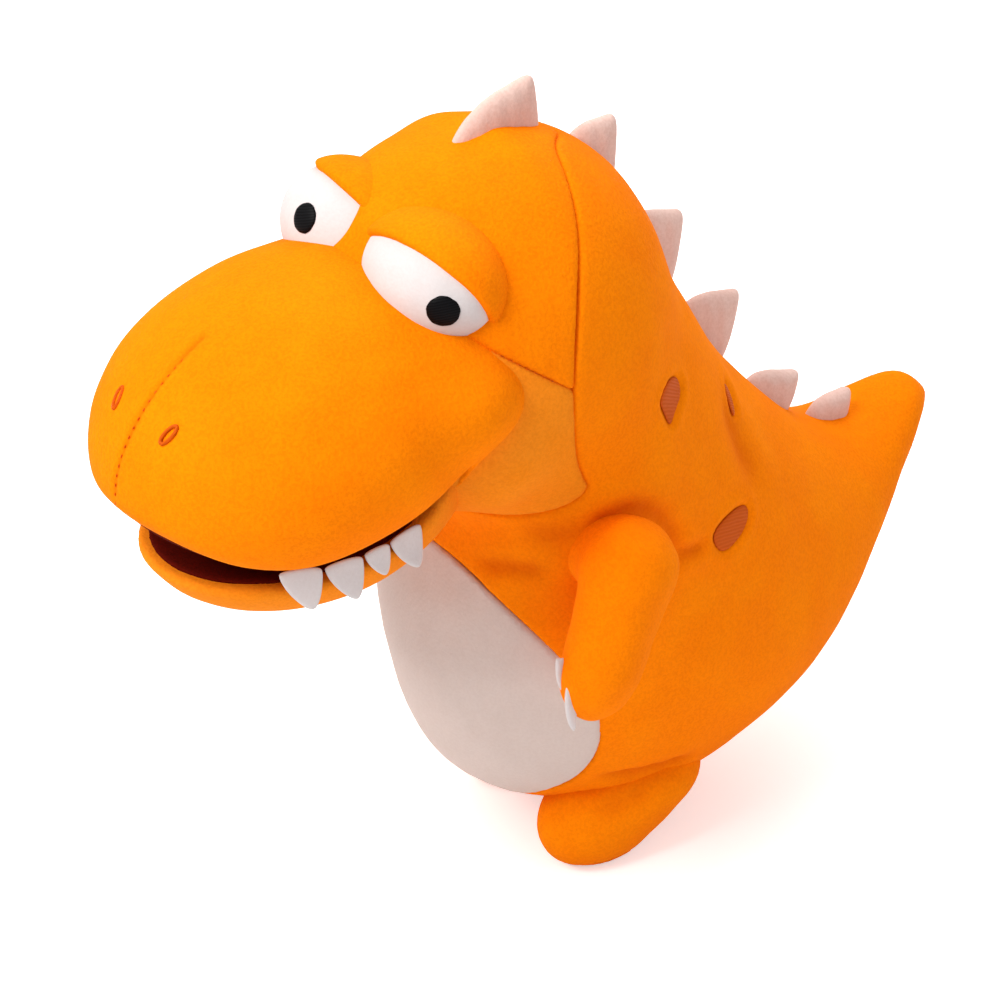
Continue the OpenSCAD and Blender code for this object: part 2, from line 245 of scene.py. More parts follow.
@dataclass
class Grid:
    """A block of space in which forms are fields: distances in mm, negative inside."""

    low: Point
    high: Point
    pitch: float
    x: np.ndarray = field(init=False)
    y: np.ndarray = field(init=False)
    z: np.ndarray = field(init=False)

    def __post_init__(self) -> None:
        """Lays out the three axes so that they combine into the block."""
        axes = [np.arange(a, b + self.pitch, self.pitch, dtype=np.float32)
                for a, b in zip(self.low, self.high)]
        self.x, self.y, self.z = axes[0][:, None, None], axes[1][None, :, None], axes[2][None, None, :]

    @property
    def shape(self) -> tuple[int, int, int]:
        """Number of samples each way."""
        return self.x.shape[0], self.y.shape[1], self.z.shape[2]

    def transform(self) -> openvdb.Transform:
        """The grid's place for the volume tools."""
        t = openvdb.createLinearTransform(self.pitch)
        t.postTranslate(self.low)
        return t

    def egg(self, form: Egg, grow: float = 0.0) -> np.ndarray:
        """The field of an egg, grown by so many mm."""
        (cx, cy, cz), (rx, ry, rz) = form.middle, (h + grow for h in form.half)
        c, s = math.cos(math.radians(form.tilt)), math.sin(math.radians(form.tilt))
        dx, dy, dz = self.x - cx, self.y - cy, self.z - cz
        qy, qz = dy * c + dz * s, dz * c - dy * s
        k0 = np.sqrt((dx / rx) ** 2 + (qy / ry) ** 2 + (qz / rz) ** 2)
        k1 = np.sqrt((dx / rx ** 2) ** 2 + (qy / ry ** 2) ** 2 + (qz / rz ** 2) ** 2)
        return k0 * (k0 - 1) / np.maximum(k1, 1e-4)

    def closed_mesh(self, points: np.ndarray, faces: np.ndarray) -> np.ndarray:
        """The field of a closed mesh of triangles or quads.

        Args:
            points: The mesh's points in mm.
            faces: Its faces, three or four points each.

        Returns:
            The field, exact within 12 samples of the surface.
        """
        kind = "triangles" if faces.shape[1] == 3 else "quads"
        level = openvdb.FloatGrid.createLevelSetFromPolygons(
            points.astype(np.float32), transform=self.transform(), halfWidth=12.0,
            **{kind: faces.astype(np.uint32)})
        out = np.empty(self.shape, np.float32)
        level.copyToArray(out)
        return out

    def sample(self, values: np.ndarray, p: np.ndarray) -> np.ndarray:
        """The field's values at points, by the eight samples round each."""
        t = (p - np.array(self.low)) / self.pitch
        t = np.clip(t, 0, np.array(self.shape) - 1.001)
        i = t.astype(int)
        f = t - i
        total = np.zeros(len(p))
        for corner in range(8):
            o = np.array([corner & 1, corner >> 1 & 1, corner >> 2 & 1])
            share = np.prod(np.where(o, f, 1 - f), axis=1)
            total += share * values[i[:, 0] + o[0], i[:, 1] + o[1], i[:, 2] + o[2]]
        return total

    def slope(self, values: np.ndarray, p: np.ndarray) -> np.ndarray:
        """The field's gradient at points."""
        rows = []
        for axis in range(3):
            step = np.zeros(3)
            step[axis] = self.pitch * 0.7
            rise = self.sample(values, p + step) - self.sample(values, p - step)
            rows.append(rise / (1.4 * self.pitch))
        return np.stack(rows, 1)

    def settle(self, values: np.ndarray, p: np.ndarray, times: int = 2) -> tuple[np.ndarray, np.ndarray]:
        """Moves points onto the field's surface.

        Args:
            values: The field.
            p: Points near its surface, in mm.
            times: How often to correct them.

        Returns:
            The points on the surface, and the outward normals there.
        """
        for _ in range(times):
            g = self.slope(values, p)
            square = np.maximum((g ** 2).sum(1), 0.05)
            p = p - np.clip(self.sample(values, p) / square, -1.5, 1.5)[:, None] * g
        g = self.slope(values, p)
        return p, g / np.maximum(np.linalg.norm(g, axis=1), 1e-6)[:, None]

    def skin(self, values: np.ndarray) -> tuple[np.ndarray, np.ndarray, np.ndarray]:
        """The field's surface.

        Args:
            values: The field.

        Returns:
            Points in mm, outward normals, and faces of four points each.
        """
        reach = 3 * self.pitch
        volume = openvdb.FloatGrid(reach)
        full = np.broadcast_to(values, self.shape)
        volume.copyFromArray(np.ascontiguousarray(np.clip(full, -reach, reach), dtype=np.float32))
        volume.transform = self.transform()
        points, quads = volume.convertToQuads(0.0)
        points = points.astype(float)
        quads = quads.astype(int)
        p, normals = self.settle(full, points)
        a, b, c = (p[quads[:, k]] for k in (0, 1, 2))
        if np.median(np.einsum("ij,ij->i", np.cross(b - a, c - a), normals[quads[:, 0]])) < 0:
            quads = quads[:, ::-1]
        return p, normals, quads


# ---------------------------------------------------------------- seams, folds and threads


@dataclass(frozen=True)
class Seam:
    """A line along which the cloth is drawn in, with small puckers; a fold has a wide dip and no stitches."""

    points: tuple[Point, ...]
    depth: float = 1.4
    width: float = 1.8
    stitch: float = 3.2
    pucker: float = 0.3
    both_sides: bool = True

    def line(self, spacing: float = 0.8) -> np.ndarray:
        """The line's points, evenly spaced."""
        smooth = curve_through(self.points, 12)
        run = np.concatenate([[0], np.cumsum(np.linalg.norm(np.diff(smooth, axis=0), axis=1))])
        at = np.arange(0, run[-1], spacing)
        return np.stack([np.interp(at, run, smooth[:, k]) for k in range(3)], 1)

    def dip(self, p: np.ndarray) -> tuple[np.ndarray, np.ndarray]:
        """How far the cloth moves outwards at each point, and how deep in the seam each point is.

        Args:
            p: Points in mm.

        Returns:
            Moves in mm, mostly negative, and a share from 0 to 1.
        """
        q = p.copy()
        if self.both_sides:
            q[:, 0] = np.abs(q[:, 0])
        spacing = 0.8
        line = self.line(spacing)
        reach = 4 * self.width
        near = np.flatnonzero(((q > line.min(0) - reach) & (q < line.max(0) + reach)).all(1))
        move, share = np.zeros(len(p)), np.zeros(len(p))
        for part in np.array_split(near, max(1, len(near) // 4000)):
            if not len(part):
                continue
            gap = np.linalg.norm(q[part][:, None] - line[None], axis=2)
            nearest = gap.argmin(1)
            d = gap[np.arange(len(part)), nearest]
            run = nearest * spacing
            ends = smooth_step(np.minimum(run, len(line) * spacing - run), 0, 3 * self.width)
            wave = 1 - self.pucker * (0.5 + 0.5 * np.cos(math.tau * run / self.stitch))
            groove = np.exp(-(d / self.width) ** 2)
            roll = 0.22 * np.exp(-((d - 2.3 * self.width) / (1.1 * self.width)) ** 2)
            move[part] = self.depth * ends * (roll - groove * wave)
            share[part] = groove * ends
        return move, share


@dataclass
class Skin:
    """A sewn piece as it is shaped: points, outward normals, faces, how deep in a seam each point is."""

    points: np.ndarray
    normals: np.ndarray
    faces: np.ndarray
    seam: np.ndarray = field(init=False)

    def __post_init__(self) -> None:
        """Starts with no seams."""
        self.seam = np.zeros(len(self.points))

    def push(self, move: np.ndarray) -> "Skin":
        """Moves each point along its normal by so many mm."""
        self.points = self.points + move[:, None] * self.normals
        return self

    def sew(self, seams: Sequence[Seam]) -> "Skin":
        """Draws the cloth in along each line."""
        total = np.zeros(len(self.points))
        for seam in seams:
            move, share = seam.dip(self.points)
            total += move
            self.seam = np.maximum(self.seam, share)
        return self.push(total)

    def stuff(self, amount: float, size: float, seed: int) -> "Skin":
        """Adds the soft unevenness of hand stuffing."""
        return self.push(amount * stuffing(self.points, size, seed))

    def stand_on(self, floor: float = 0.0) -> "Skin":
        """Keeps every point on or above the floor."""
        self.points[:, 2] = np.maximum(self.points[:, 2], floor)
        return self

    def part(self, keep: np.ndarray) -> "Skin":
        """The faces for which keep is true, as a piece of their own."""
        faces = self.faces[keep]
        used, back = np.unique(faces, return_inverse=True)
        piece = Skin(self.points[used], self.normals[used], back.reshape(faces.shape))
        piece.seam = self.seam[used]
        return piece


def to_object(name: str, points: np.ndarray, faces: Sequence,
              seam: np.ndarray | None = None) -> bpy.types.Object:
    """A Blender object from points in mm.

    Args:
        name: The piece's name.
        points: Its points in mm, one row each.
        faces: Its faces, as lists of point numbers.
        seam: How deep in a seam or fold each point is, from 0 to 1; the material darkens the cloth there,
            partly as painted shade.

    Returns:
        The new object, smooth shaded.
    """
    mesh = bpy.data.meshes.new(name)
    rows = faces.tolist() if isinstance(faces, np.ndarray) else faces
    mesh.from_pydata((points * MM).tolist(), [], rows)
    mesh.validate()
    mesh.shade_smooth()
    values = np.zeros(len(mesh.vertices), np.float32)
    if seam is not None:
        values[:] = seam[:len(values)]
    mesh.attributes.new("seam", "FLOAT", "POINT").data.foreach_set("value", values)
    made = bpy.data.objects.new(name, mesh)
    bpy.context.scene.collection.objects.link(made)
    return made


def pillow(outline: np.ndarray, half: float, power: float, rings: int) -> Mesh:
    """Two layers sewn along an outline and padded between.

    Args:
        outline: The closed outline, two numbers a row.
        half: Half the thickness at the middle.
        power: How full it is: higher is flatter with rounder edges.
        rings: Rings between the middle and the edge.

    Returns:
        Points (u, v, w) and faces.
    """
    n = len(outline)
    middle = outline.mean(0)
    shares = np.sin(np.arange(1, rings + 1) / rings * math.pi / 2)
    points = []
    for sign in (1, -1):
        points.append([*middle, sign * half])
        for r in shares[:-1]:
            flat = middle + r * (outline - middle)
            points.extend([u, v, sign * half * (1 - r ** power) ** 0.5] for u, v in flat)
    rim = len(points)
    points.extend([u, v, 0.0] for u, v in outline)
    layer = 1 + n * (rings - 1)
    faces: list[list[int]] = []
    for k in (0, 1):
        base = k * layer
        starts = [base + 1 + n * j for j in range(rings - 1)] + [rim]
        for i in range(n):
            j = (i + 1) % n
            found = [[base, starts[0] + i, starts[0] + j]]
            found += [[a + i, b + i, b + j, a + j] for a, b in zip(starts, starts[1:])]
            faces.extend(f if k == 0 else f[::-1] for f in found)
    return np.array(points), faces


def facing_out(points: np.ndarray, faces: list[list[int]]) -> list[list[int]]:
    """The faces turned round if the closed mesh is inside out."""
    volume = 0.0
    for f in faces:
        for k in range(1, len(f) - 1):
            volume += np.dot(points[f[0]], np.cross(points[f[k]], points[f[k + 1]]))
    return faces if volume > 0 else [f[::-1] for f in faces]


def tube(path: np.ndarray, radius: float, closed: bool = False, sides: int = 8) -> Mesh:
    """A round thread along a path, with its ends drawn to a point.

    Args:
        path: The thread's middle line in mm.
        radius: Its radius in mm.
        closed: Whether it runs back to its start.
        sides: Sides of its section.

    Returns:
        Points and faces.
    """
    n = len(path)
    ahead = np.roll(path, -1, 0) - np.roll(path, 1, 0)
    if not closed:
        ahead[0], ahead[-1] = path[1] - path[0], path[-1] - path[-2]
    ahead /= np.linalg.norm(ahead, axis=1)[:, None]
    up = np.where(np.abs(ahead[:, 2:3]) > 0.9, [[1.0, 0, 0]], [[0, 0, 1.0]])
    across = np.cross(ahead, up)
    across /= np.linalg.norm(across, axis=1)[:, None]
    over = np.cross(across, ahead)
    size = np.ones(n) if closed else np.sqrt(np.clip(1 - np.abs(np.linspace(-1, 1, n)) ** 4, 0.02, 1))
    angles = np.arange(sides) * math.tau / sides
    c, s = np.cos(angles), np.sin(angles)
    points = np.concatenate([path[i] + radius * size[i] * (np.outer(c, across[i]) + np.outer(s, over[i]))
                             for i in range(n)])
    faces = []
    for i in range(n if closed else n - 1):
        a, b = i * sides, (i + 1) % n * sides
        for k in range(sides):
            m = (k + 1) % sides
            faces.append([a + k, a + m, b + m, b + k])
    if not closed:
        faces += [list(range(sides))[::-1], [(n - 1) * sides + k for k in range(sides)]]
    return points, faces


def stitches(grid: Grid, form: np.ndarray, seam: Seam, sides: Sequence[Side]) -> Mesh:
    """The short threads that show along a seam.

    Args:
        grid: The grid of the form.
        form: The form on which the seam lies.
        seam: The seam.
        sides: The sides of the toy that have it.

    Returns:
        Points and faces of all the threads.
    """
    spacing, long, apart, thread = 0.5, 4, 7, 0.28
    line, _ = grid.settle(form, seam.line(spacing), 5)
    parts = []
    for side in sides:
        for start in range(3, len(line) - 6, apart):
            path, normals = grid.settle(form, line[start:start + long], 1)
            path = path - normals * (0.5 * seam.depth - 0.1)
            parts.append(tube(path * [side.value, 1, 1], thread, sides=6))
    return joined(parts)


def joined(parts: Sequence[Mesh]) -> Mesh:
    """Several small meshes as one."""
    points, faces, start = [], [], 0
    for p, f in parts:
        points.append(p)
        faces.extend([i + start for i in face] for face in facing_out(p, f))
        start += len(p)
    return np.concatenate(points), faces


# ---------------------------------------------------------------- finishes


class Nodes:
    """Short calls that place and wire shader nodes in one tree."""

    def __init__(self, tree: bpy.types.NodeTree) -> None:
        """Starts on an emptied tree."""
        self.tree = tree
        tree.nodes.clear()

    def add(self, kind: str, inputs: dict | None = None, **settings: object) -> bpy.types.Node:
        """Places a node.

        Args:
            kind: Its type name.
            inputs: Input name or number to a value or an output socket.
            **settings: Properties of the node.

        Returns:
            The node.
        """
        node = self.tree.nodes.new(kind)
        for name, value in settings.items():
            setattr(node, name, value)
        for name, value in (inputs or {}).items():
            if isinstance(value, bpy.types.NodeSocket):
                self.tree.links.new(value, node.inputs[name])
            else:
                node.inputs[name].default_value = value
        return node

    def math(self, operation: str, a: object, b: object) -> bpy.types.NodeSocket:
        """A sum, product or other operation of two values or sockets."""
        return self.add("ShaderNodeMath", {0: a, 1: b}, operation=operation).outputs[0]

    def mix(self, share: object, a: object, b: object) -> bpy.types.NodeSocket:
        """Colour a going to colour b as share goes from 0 to 1."""
        return self.add("ShaderNodeMix", {0: share, 6: a, 7: b}, data_type="RGBA").outputs[2]

    def ramp(self, value: object, low: float, high: float) -> bpy.types.NodeSocket:
        """0 where value is low, 1 where it is high."""
        return self.add("ShaderNodeMapRange", {0: value, 1: low, 2: high},
                        interpolation_type="SMOOTHSTEP").outputs[0]


def cloth_group() -> bpy.types.NodeTree:
    """The short-pile cloth effect: brushed patches, fine grain, and seams and folds darkened partly as
    flattened pile and partly as painted shade.

    Returns:
        A group with Colour, Roughness and Height outputs.
    """
    found = bpy.data.node_groups.get("pile_cloth")
    if found:
        return found
    group = bpy.data.node_groups.new("pile_cloth", "ShaderNodeTree")
    face = group.interface
    shade, amount = "NodeSocketColor", "NodeSocketFloat"
    for name, kind, value in (("Colour", shade, (1, 1, 1, 1)), ("Lifted", shade, (1, 1, 1, 1)),
                              ("Pressed", shade, (0, 0, 0, 1)), ("Grain Scale", amount, 900.0),
                              ("Patch Scale", amount, 22.0), ("Patch", amount, 0.5),
                              ("Grain", amount, 0.25), ("Dull", amount, 0.9), ("Seam", amount, 0.0)):
        face.new_socket(name, in_out="INPUT", socket_type=kind).default_value = value
    for name, kind in (("Colour", shade), ("Roughness", amount), ("Height", amount)):
        face.new_socket(name, in_out="OUTPUT", socket_type=kind)
    n = Nodes(group)
    given = n.add("NodeGroupInput").outputs
    place = n.add("ShaderNodeTexCoord").outputs["Object"]
    patches = n.add("ShaderNodeTexNoise", {"Vector": place, "Scale": given["Patch Scale"], "Detail": 3.0,
                                           "Roughness": 0.55, "Distortion": 0.6}).outputs[0]
    strokes_at = n.add("ShaderNodeMapping", {"Vector": place, "Scale": (1.0, 0.45, 0.35)}).outputs[0]
    strokes_scale = n.math("MULTIPLY", given["Grain Scale"], 0.16)
    strokes = n.add("ShaderNodeTexNoise", {"Vector": strokes_at, "Scale": strokes_scale,
                                           "Detail": 2.0}).outputs[0]
    grain = n.add("ShaderNodeTexNoise", {"Vector": place, "Scale": given["Grain Scale"], "Detail": 2.0,
                                         "Roughness": 0.7}).outputs[0]
    tufts_scale = n.math("MULTIPLY", given["Grain Scale"], 0.8)
    tufts = n.add("ShaderNodeTexVoronoi", {"Vector": place, "Scale": tufts_scale}).outputs["Distance"]
    uneven = n.math("ADD", n.math("MULTIPLY", patches, 0.7), n.math("MULTIPLY", strokes, 0.3))
    brushed = n.math("MULTIPLY", n.ramp(uneven, 0.36, 0.64), given["Patch"])
    colour = n.mix(brushed, given["Colour"], given["Lifted"])
    dark = n.math("MULTIPLY", n.ramp(grain, 0.62, 0.36), given["Grain"])
    colour = n.mix(dark, colour, given["Pressed"])
    # Painted shade: seams and folds darken towards the dark pile colour, partly for flattened pile and partly
    # for the shade that falls in their grooves.
    colour = n.mix(n.math("MULTIPLY", given["Seam"], 0.55), colour, given["Pressed"])
    rough = n.math("ADD", given["Dull"], n.math("MULTIPLY", n.math("SUBTRACT", strokes, 0.5), 0.16))
    tops = n.math("MULTIPLY", n.math("SUBTRACT", 1.0, tufts), 0.45)
    height = n.math("ADD", n.math("MULTIPLY", grain, 0.55), tops)
    height = n.math("ADD", height, n.math("MULTIPLY", strokes, 0.5))
    n.add("NodeGroupOutput", {"Colour": colour, "Roughness": rough, "Height": height})
    return group


@dataclass(frozen=True)
class Plush:
    """Short-pile plush or felt.

    Attributes:
        name: The material's name.
        colour: Base colour, linear.
        lifted: Colour where the pile is brushed up.
        pressed: Colour between the fibres, and in the seams and folds, where it stands partly for flattened
            pile and partly for painted shade.
        grain: Strength of the fine dark grain.
        grain_scale: Grains in a metre.
        patch: Strength of the brushed patches.
        patch_scale: Brushed patches in a metre.
        sheen: Weight of the fuzzy rim.
        bump: Height of the grain in mm.
        dull: Mean roughness.
    """

    name: str
    colour: Colour
    lifted: Colour
    pressed: Colour
    grain: float = 0.25
    grain_scale: float = 850.0
    patch: float = 0.5
    patch_scale: float = 22.0
    sheen: float = 0.35
    bump: float = 0.28
    dull: float = 0.88

    def material(self) -> bpy.types.Material:
        """The finish as a material, made once."""
        found = bpy.data.materials.get(self.name)
        if found:
            return found
        made = bpy.data.materials.new(self.name)
        made.use_nodes = True
        n = Nodes(made.node_tree)
        seam = n.add("ShaderNodeAttribute", attribute_name="seam").outputs["Fac"]
        cloth = n.add("ShaderNodeGroup", node_tree=cloth_group())
        for name, value in (("Colour", self.colour), ("Lifted", self.lifted), ("Pressed", self.pressed),
                            ("Grain Scale", self.grain_scale), ("Patch Scale", self.patch_scale),
                            ("Patch", self.patch), ("Grain", self.grain), ("Dull", self.dull)):
            cloth.inputs[name].default_value = value
        made.node_tree.links.new(seam, cloth.inputs["Seam"])
        bump = n.add("ShaderNodeBump", {"Height": cloth.outputs["Height"], "Strength": 1.0,
                                        "Distance": self.bump * MM})
        shader = n.add("ShaderNodeBsdfPrincipled", {
            "Base Color": cloth.outputs["Colour"], "Roughness": cloth.outputs["Roughness"],
            "Normal": bump.outputs[0], "Specular IOR Level": 0.04, "Sheen Weight": self.sheen,
            "Sheen Roughness": 0.45, "Sheen Tint": self.lifted})
        n.add("ShaderNodeOutputMaterial", {"Surface": shader.outputs[0]})
        return made


@dataclass(frozen=True)
class Thread:
    """Satin-stitched embroidery thread: fine parallel strands with a soft gloss.

    Attributes:
        name: The material's name.
        colour: Thread colour, linear.
        glint: Colour of the strands' tops, a painted highlight.
        strands: Strands in a metre.
        turn: Angle of the strands in degrees.
    """

    name: str
    colour: Colour
    glint: Colour
    strands: float = 1400.0
    turn: float = 20.0

    def material(self) -> bpy.types.Material:
        """The finish as a material, made once."""
        found = bpy.data.materials.get(self.name)
        if found:
            return found
        made = bpy.data.materials.new(self.name)
        made.use_nodes = True
        n = Nodes(made.node_tree)
        place = n.add("ShaderNodeTexCoord").outputs["Object"]
        turned = n.add("ShaderNodeMapping", {
            "Vector": place, "Rotation": (0.0, math.radians(self.turn), 0.4)}).outputs[0]
        strands = n.add("ShaderNodeTexWave", {
            "Vector": turned, "Scale": self.strands / 6.3, "Distortion": 1.2, "Detail": 1.0},
            bands_direction="Z").outputs["Fac"]
        # Painted highlight: the strands' tops are lighter than the thread's colour.
        colour = n.mix(n.ramp(strands, 0.2, 0.95), self.colour, self.glint)
        rough = n.math("SUBTRACT", 0.62, n.math("MULTIPLY", strands, 0.18))
        bump = n.add("ShaderNodeBump", {"Height": strands, "Strength": 1.0, "Distance": 0.05 * MM})
        shader = n.add("ShaderNodeBsdfPrincipled", {
            "Base Color": colour, "Roughness": rough, "Normal": bump.outputs[0],
            "Specular IOR Level": 0.08})
        n.add("ShaderNodeOutputMaterial", {"Surface": shader.outputs[0]})
        return made


ORANGE = Plush("orange_pile", (0.93, 0.205, 0.0, 1), (0.98, 0.26, 0.001, 1), (0.62, 0.08, 0.0, 1), grain=0.22,
               sheen=0.06)
BRUSHED = Plush("brushed_pile", (0.86, 0.235, 0.008, 1), (0.90, 0.28, 0.02, 1), (0.52, 0.09, 0.001, 1),
                grain=0.18, patch=0.3, sheen=0.15, bump=0.4)
PALE = Plush("pale_pile", (0.60, 0.50, 0.46, 1), (0.66, 0.56, 0.52, 1), (0.46, 0.33, 0.29, 1),
             grain=0.12, patch=0.5, sheen=0.25, bump=0.16)
FELT = Plush("padded_felt", (0.72, 0.49, 0.43, 1), (0.78, 0.57, 0.51, 1), (0.54, 0.30, 0.23, 1),
             grain=0.22, patch=0.6, patch_scale=60.0, sheen=0.3, bump=0.18)
WHITE = Plush("white_felt_cloth", (0.62, 0.57, 0.57, 1), (0.68, 0.64, 0.64, 1), (0.50, 0.40, 0.38, 1),
              grain=0.10, patch=0.4, sheen=0.2, bump=0.12)
LINING = Plush("mouth_felt", (0.10, 0.004, 0.001, 1), (0.14, 0.007, 0.002, 1), (0.02, 0.001, 0.001, 1),
               grain=0.3, sheen=0.05, bump=0.2)
BLACK = Thread("pupil_thread", (0.001, 0.001, 0.0015, 1), (0.004, 0.004, 0.005, 1), strands=2200.0)
BROWN = Thread("brown_stitching", (0.52, 0.075, 0.0, 1), (0.57, 0.087, 0.0, 1), strands=2200.0, turn=60.0)


def place(piece: bpy.types.Object, finish: Plush | Thread, slot: Slot, nodes: Sequence[str],
          body: str | None = None, bend: tuple[str, str, Point, Point] | None = None,
          fill: float | None = None) -> bpy.types.Object:
    """Dresses a piece and ties it to the frame.

    Args:
        piece: The finished object.
        finish: What it is made of.
        slot: The record's material slot; not used.
        nodes: The frame's solids that it stands for.
        body: The body it rides on.
        bend: Instead of body: two bodies and two points in mm; when given, the piece's place is baked into
            its mesh and it rides on no body.
        fill: How full a padded piece is; not used.

    Returns:
        The piece.
    """
    piece.data.materials.append(finish.material())
    if bend:
        a, b, start, end = bend
        tuple(v * MM for v in start)
        tuple(v * MM for v in end)
        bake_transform(piece)
    else:
        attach(piece, body)
    if nodes:
        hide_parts(*nodes)
    return piece


def both(*stems: str) -> list[str]:
    """Node names for the left and the right side."""
    return [f"{stem}_{side.word}" for stem in stems for side in Side]


# ---------------------------------------------------------------- the toy's shared forms


@dataclass(frozen=True)
class Forms:
    """Forms that more than one sub-assembly is cut from, in mm.

    The snout, crown, cheeks, chin and rings have the sizes of the frame's covers. The jowls are fuller.
    """

    snout: Egg = Egg((0, -117, 225), (66, 77, 49), 13)
    jowls: Egg = Egg((0, -85, 236), (67.5, 42, 31))
    crown: Egg = Egg((0, -40, 239), (66, 66, 66))
    cheeks: Egg = Egg((0, -63, 214), (62, 34, 42))
    chin: Egg = Egg((0, -116, 198), (52, 66, 42.5), 8)
    eye: Egg = Egg(near(EYE, -1.2, 0.6, -0.5), (28.2, 22, 21.4))
    neck_fillet: float = 14.0
    half_width: float = 68.0
    # Rings of the body from crown to tail tip: back (y, z), belly (y, z), share of the half width
    rings: tuple = (
        (-34, 302, -60, 176, 0.82), (6, 279, -64, 150, 0.90), (37, 234, -70, 120, 0.94),
        (66, 189, -68, 84, 0.97), (102, 150, -50, 38, 1.00), (123, 134, 6, 11, 0.94),
        (137, 128, 70, 24, 0.76), (150, 127, 116, 55, 0.55), (164, 130, 152, 86, 0.36),
        (179, 132, 178, 108, 0.19), (189, 124, 188, 116, 0.06))
    # The mouth's roof and the top of the jaw from the front backwards, (y, z) from the jaw's hinge
    palate: tuple[Flat, ...] = ((-124, 12), (-105, 5), (-94, -1), (-81, -7), (-65, -10.5), (-48, -9.5),
                                (-27, -2.5), (-11, 5.5), (0, 11))
    jaw_top: tuple[Flat, ...] = ((-124, -22), (-90, -21.5), (-66, -21), (-48, -18.5), (-27, -14), (-11, -8),
                                 (-4, -3), (26, 12))

    def body(self, grid: Grid) -> np.ndarray:
        """The body and tail as one form."""
        sides = 72
        rows = curve_through(self.rings, 8)
        angle = np.arange(sides) * math.tau / sides
        points = []
        for by, bz, fy, fz, share in rows:
            centre, half = np.array([by + fy, bz + fz]) / 2, np.array([by - fy, bz - fz]) / 2
            ring = np.outer(np.cos(angle), half) + centre
            points.append(np.stack([np.sin(angle) * share * self.half_width, ring[:, 0], ring[:, 1]], 1))
        first, last = len(rows) * sides, len(rows) * sides + 1
        p = np.concatenate([*points, [points[0].mean(0)], [points[-1].mean(0)]])
        a = np.arange(sides)
        b = (a + 1) % sides
        faces = []
        for i in range(len(rows) - 1):
            c, d = i * sides, (i + 1) * sides
            faces += [np.stack([c + a, d + a, c + b], 1), np.stack([c + b, d + a, d + b], 1)]
        end = (len(rows) - 1) * sides
        faces += [np.stack([a, b, np.full(sides, first)], 1),
                  np.stack([end + b, end + a, np.full(sides, last)], 1)]
        return grid.closed_mesh(p, np.concatenate(faces))

    def shell(self, grid: Grid) -> np.ndarray:
        """The body, the tail and the round back of the head with its cheeks, as one form."""
        skull = smooth_min(grid.egg(self.crown), grid.egg(self.cheeks), self.neck_fillet)
        return smooth_min(self.body(grid), skull, self.neck_fillet)

    def behind_hood(self, grid: Grid) -> np.ndarray:
        """Positive behind the seam that joins the head's panels to the body's hood, in mm.

        In side view the seam is two parabolas that meet at z = 190. Near the midline it runs further back,
        round the foot of the crown's fin.

        Args:
            grid: The block of space.

        Returns:
            The field, steepness allowed for.
        """
        z = grid.z
        high, low = ((z - 234) / 13) ** 2 - 48, -36.5 - 20 * ((190 - z) / 14) ** 2
        steep = np.where(z > 190, 2 * (z - 234) / 169, 40 * (190 - z) / 196)
        top = 19 * np.exp(-(grid.x / 14) ** 2) * smooth_step(z, 262, 290)
        return (grid.y - np.where(z > 190, high, low) - top) / np.sqrt(1 + steep ** 2)

    def above(self, grid: Grid, line: Sequence[Flat], shift: float = 0.0) -> np.ndarray:
        """Positive above a side outline, in mm.

        Args:
            grid: The block of space.
            line: The outline, (y, z) from the jaw's hinge.
            shift: How far to raise it.

        Returns:
            The field, steepness allowed for.
        """
        y = np.array([p[0] for p in line], float) + MOUTH[1]
        z = np.array([p[1] for p in line], float) + MOUTH[2] + shift
        smooth = curve_through(np.stack([y, z], 1), 6)
        height = np.interp(grid.y.ravel(), smooth[:, 0], smooth[:, 1])
        steep = np.gradient(height, grid.pitch)
        level = (grid.z - height[None, :, None]) / np.sqrt(1 + steep ** 2)[None, :, None]
        return level.astype(np.float32)

    def above_brow(self, grid: Grid) -> np.ndarray:
        """Positive above the short seam from the eye's corner to the hood seam."""
        return (grid.z - (239 - (grid.y + 54) * 0.742)) * 0.803


FORMS = Forms()

# Two bodies and two points for the cloth across the neck, from the torso to the head, and at the tail's root,
# from the torso to the tail
NECK_BEND = ("torso", "head", near(NOD, 0, -26, -97), near(NOD, 0, -56.9, -65.8))
TAIL_BEND = ("torso", "tail", near(WAG, 0, -26, 0), near(WAG, 0, 28, 6))
JAW_BEND = ("head", "jaw", near(MOUTH, 0, 4, 0), near(MOUTH, 0, -22, 0))

# The stuffing under the shell's cloth: height in mm, size of a lump in mm, seed. Pieces that meet share it
PADDING = (0.6, 40, 31)
# Where two pieces meet: the rounding of their edges at the hood and elsewhere, and how far they overlap
HOOD_ROUND = 2.6
EDGE_ROUND = 1.8
OVERLAP = 0.25


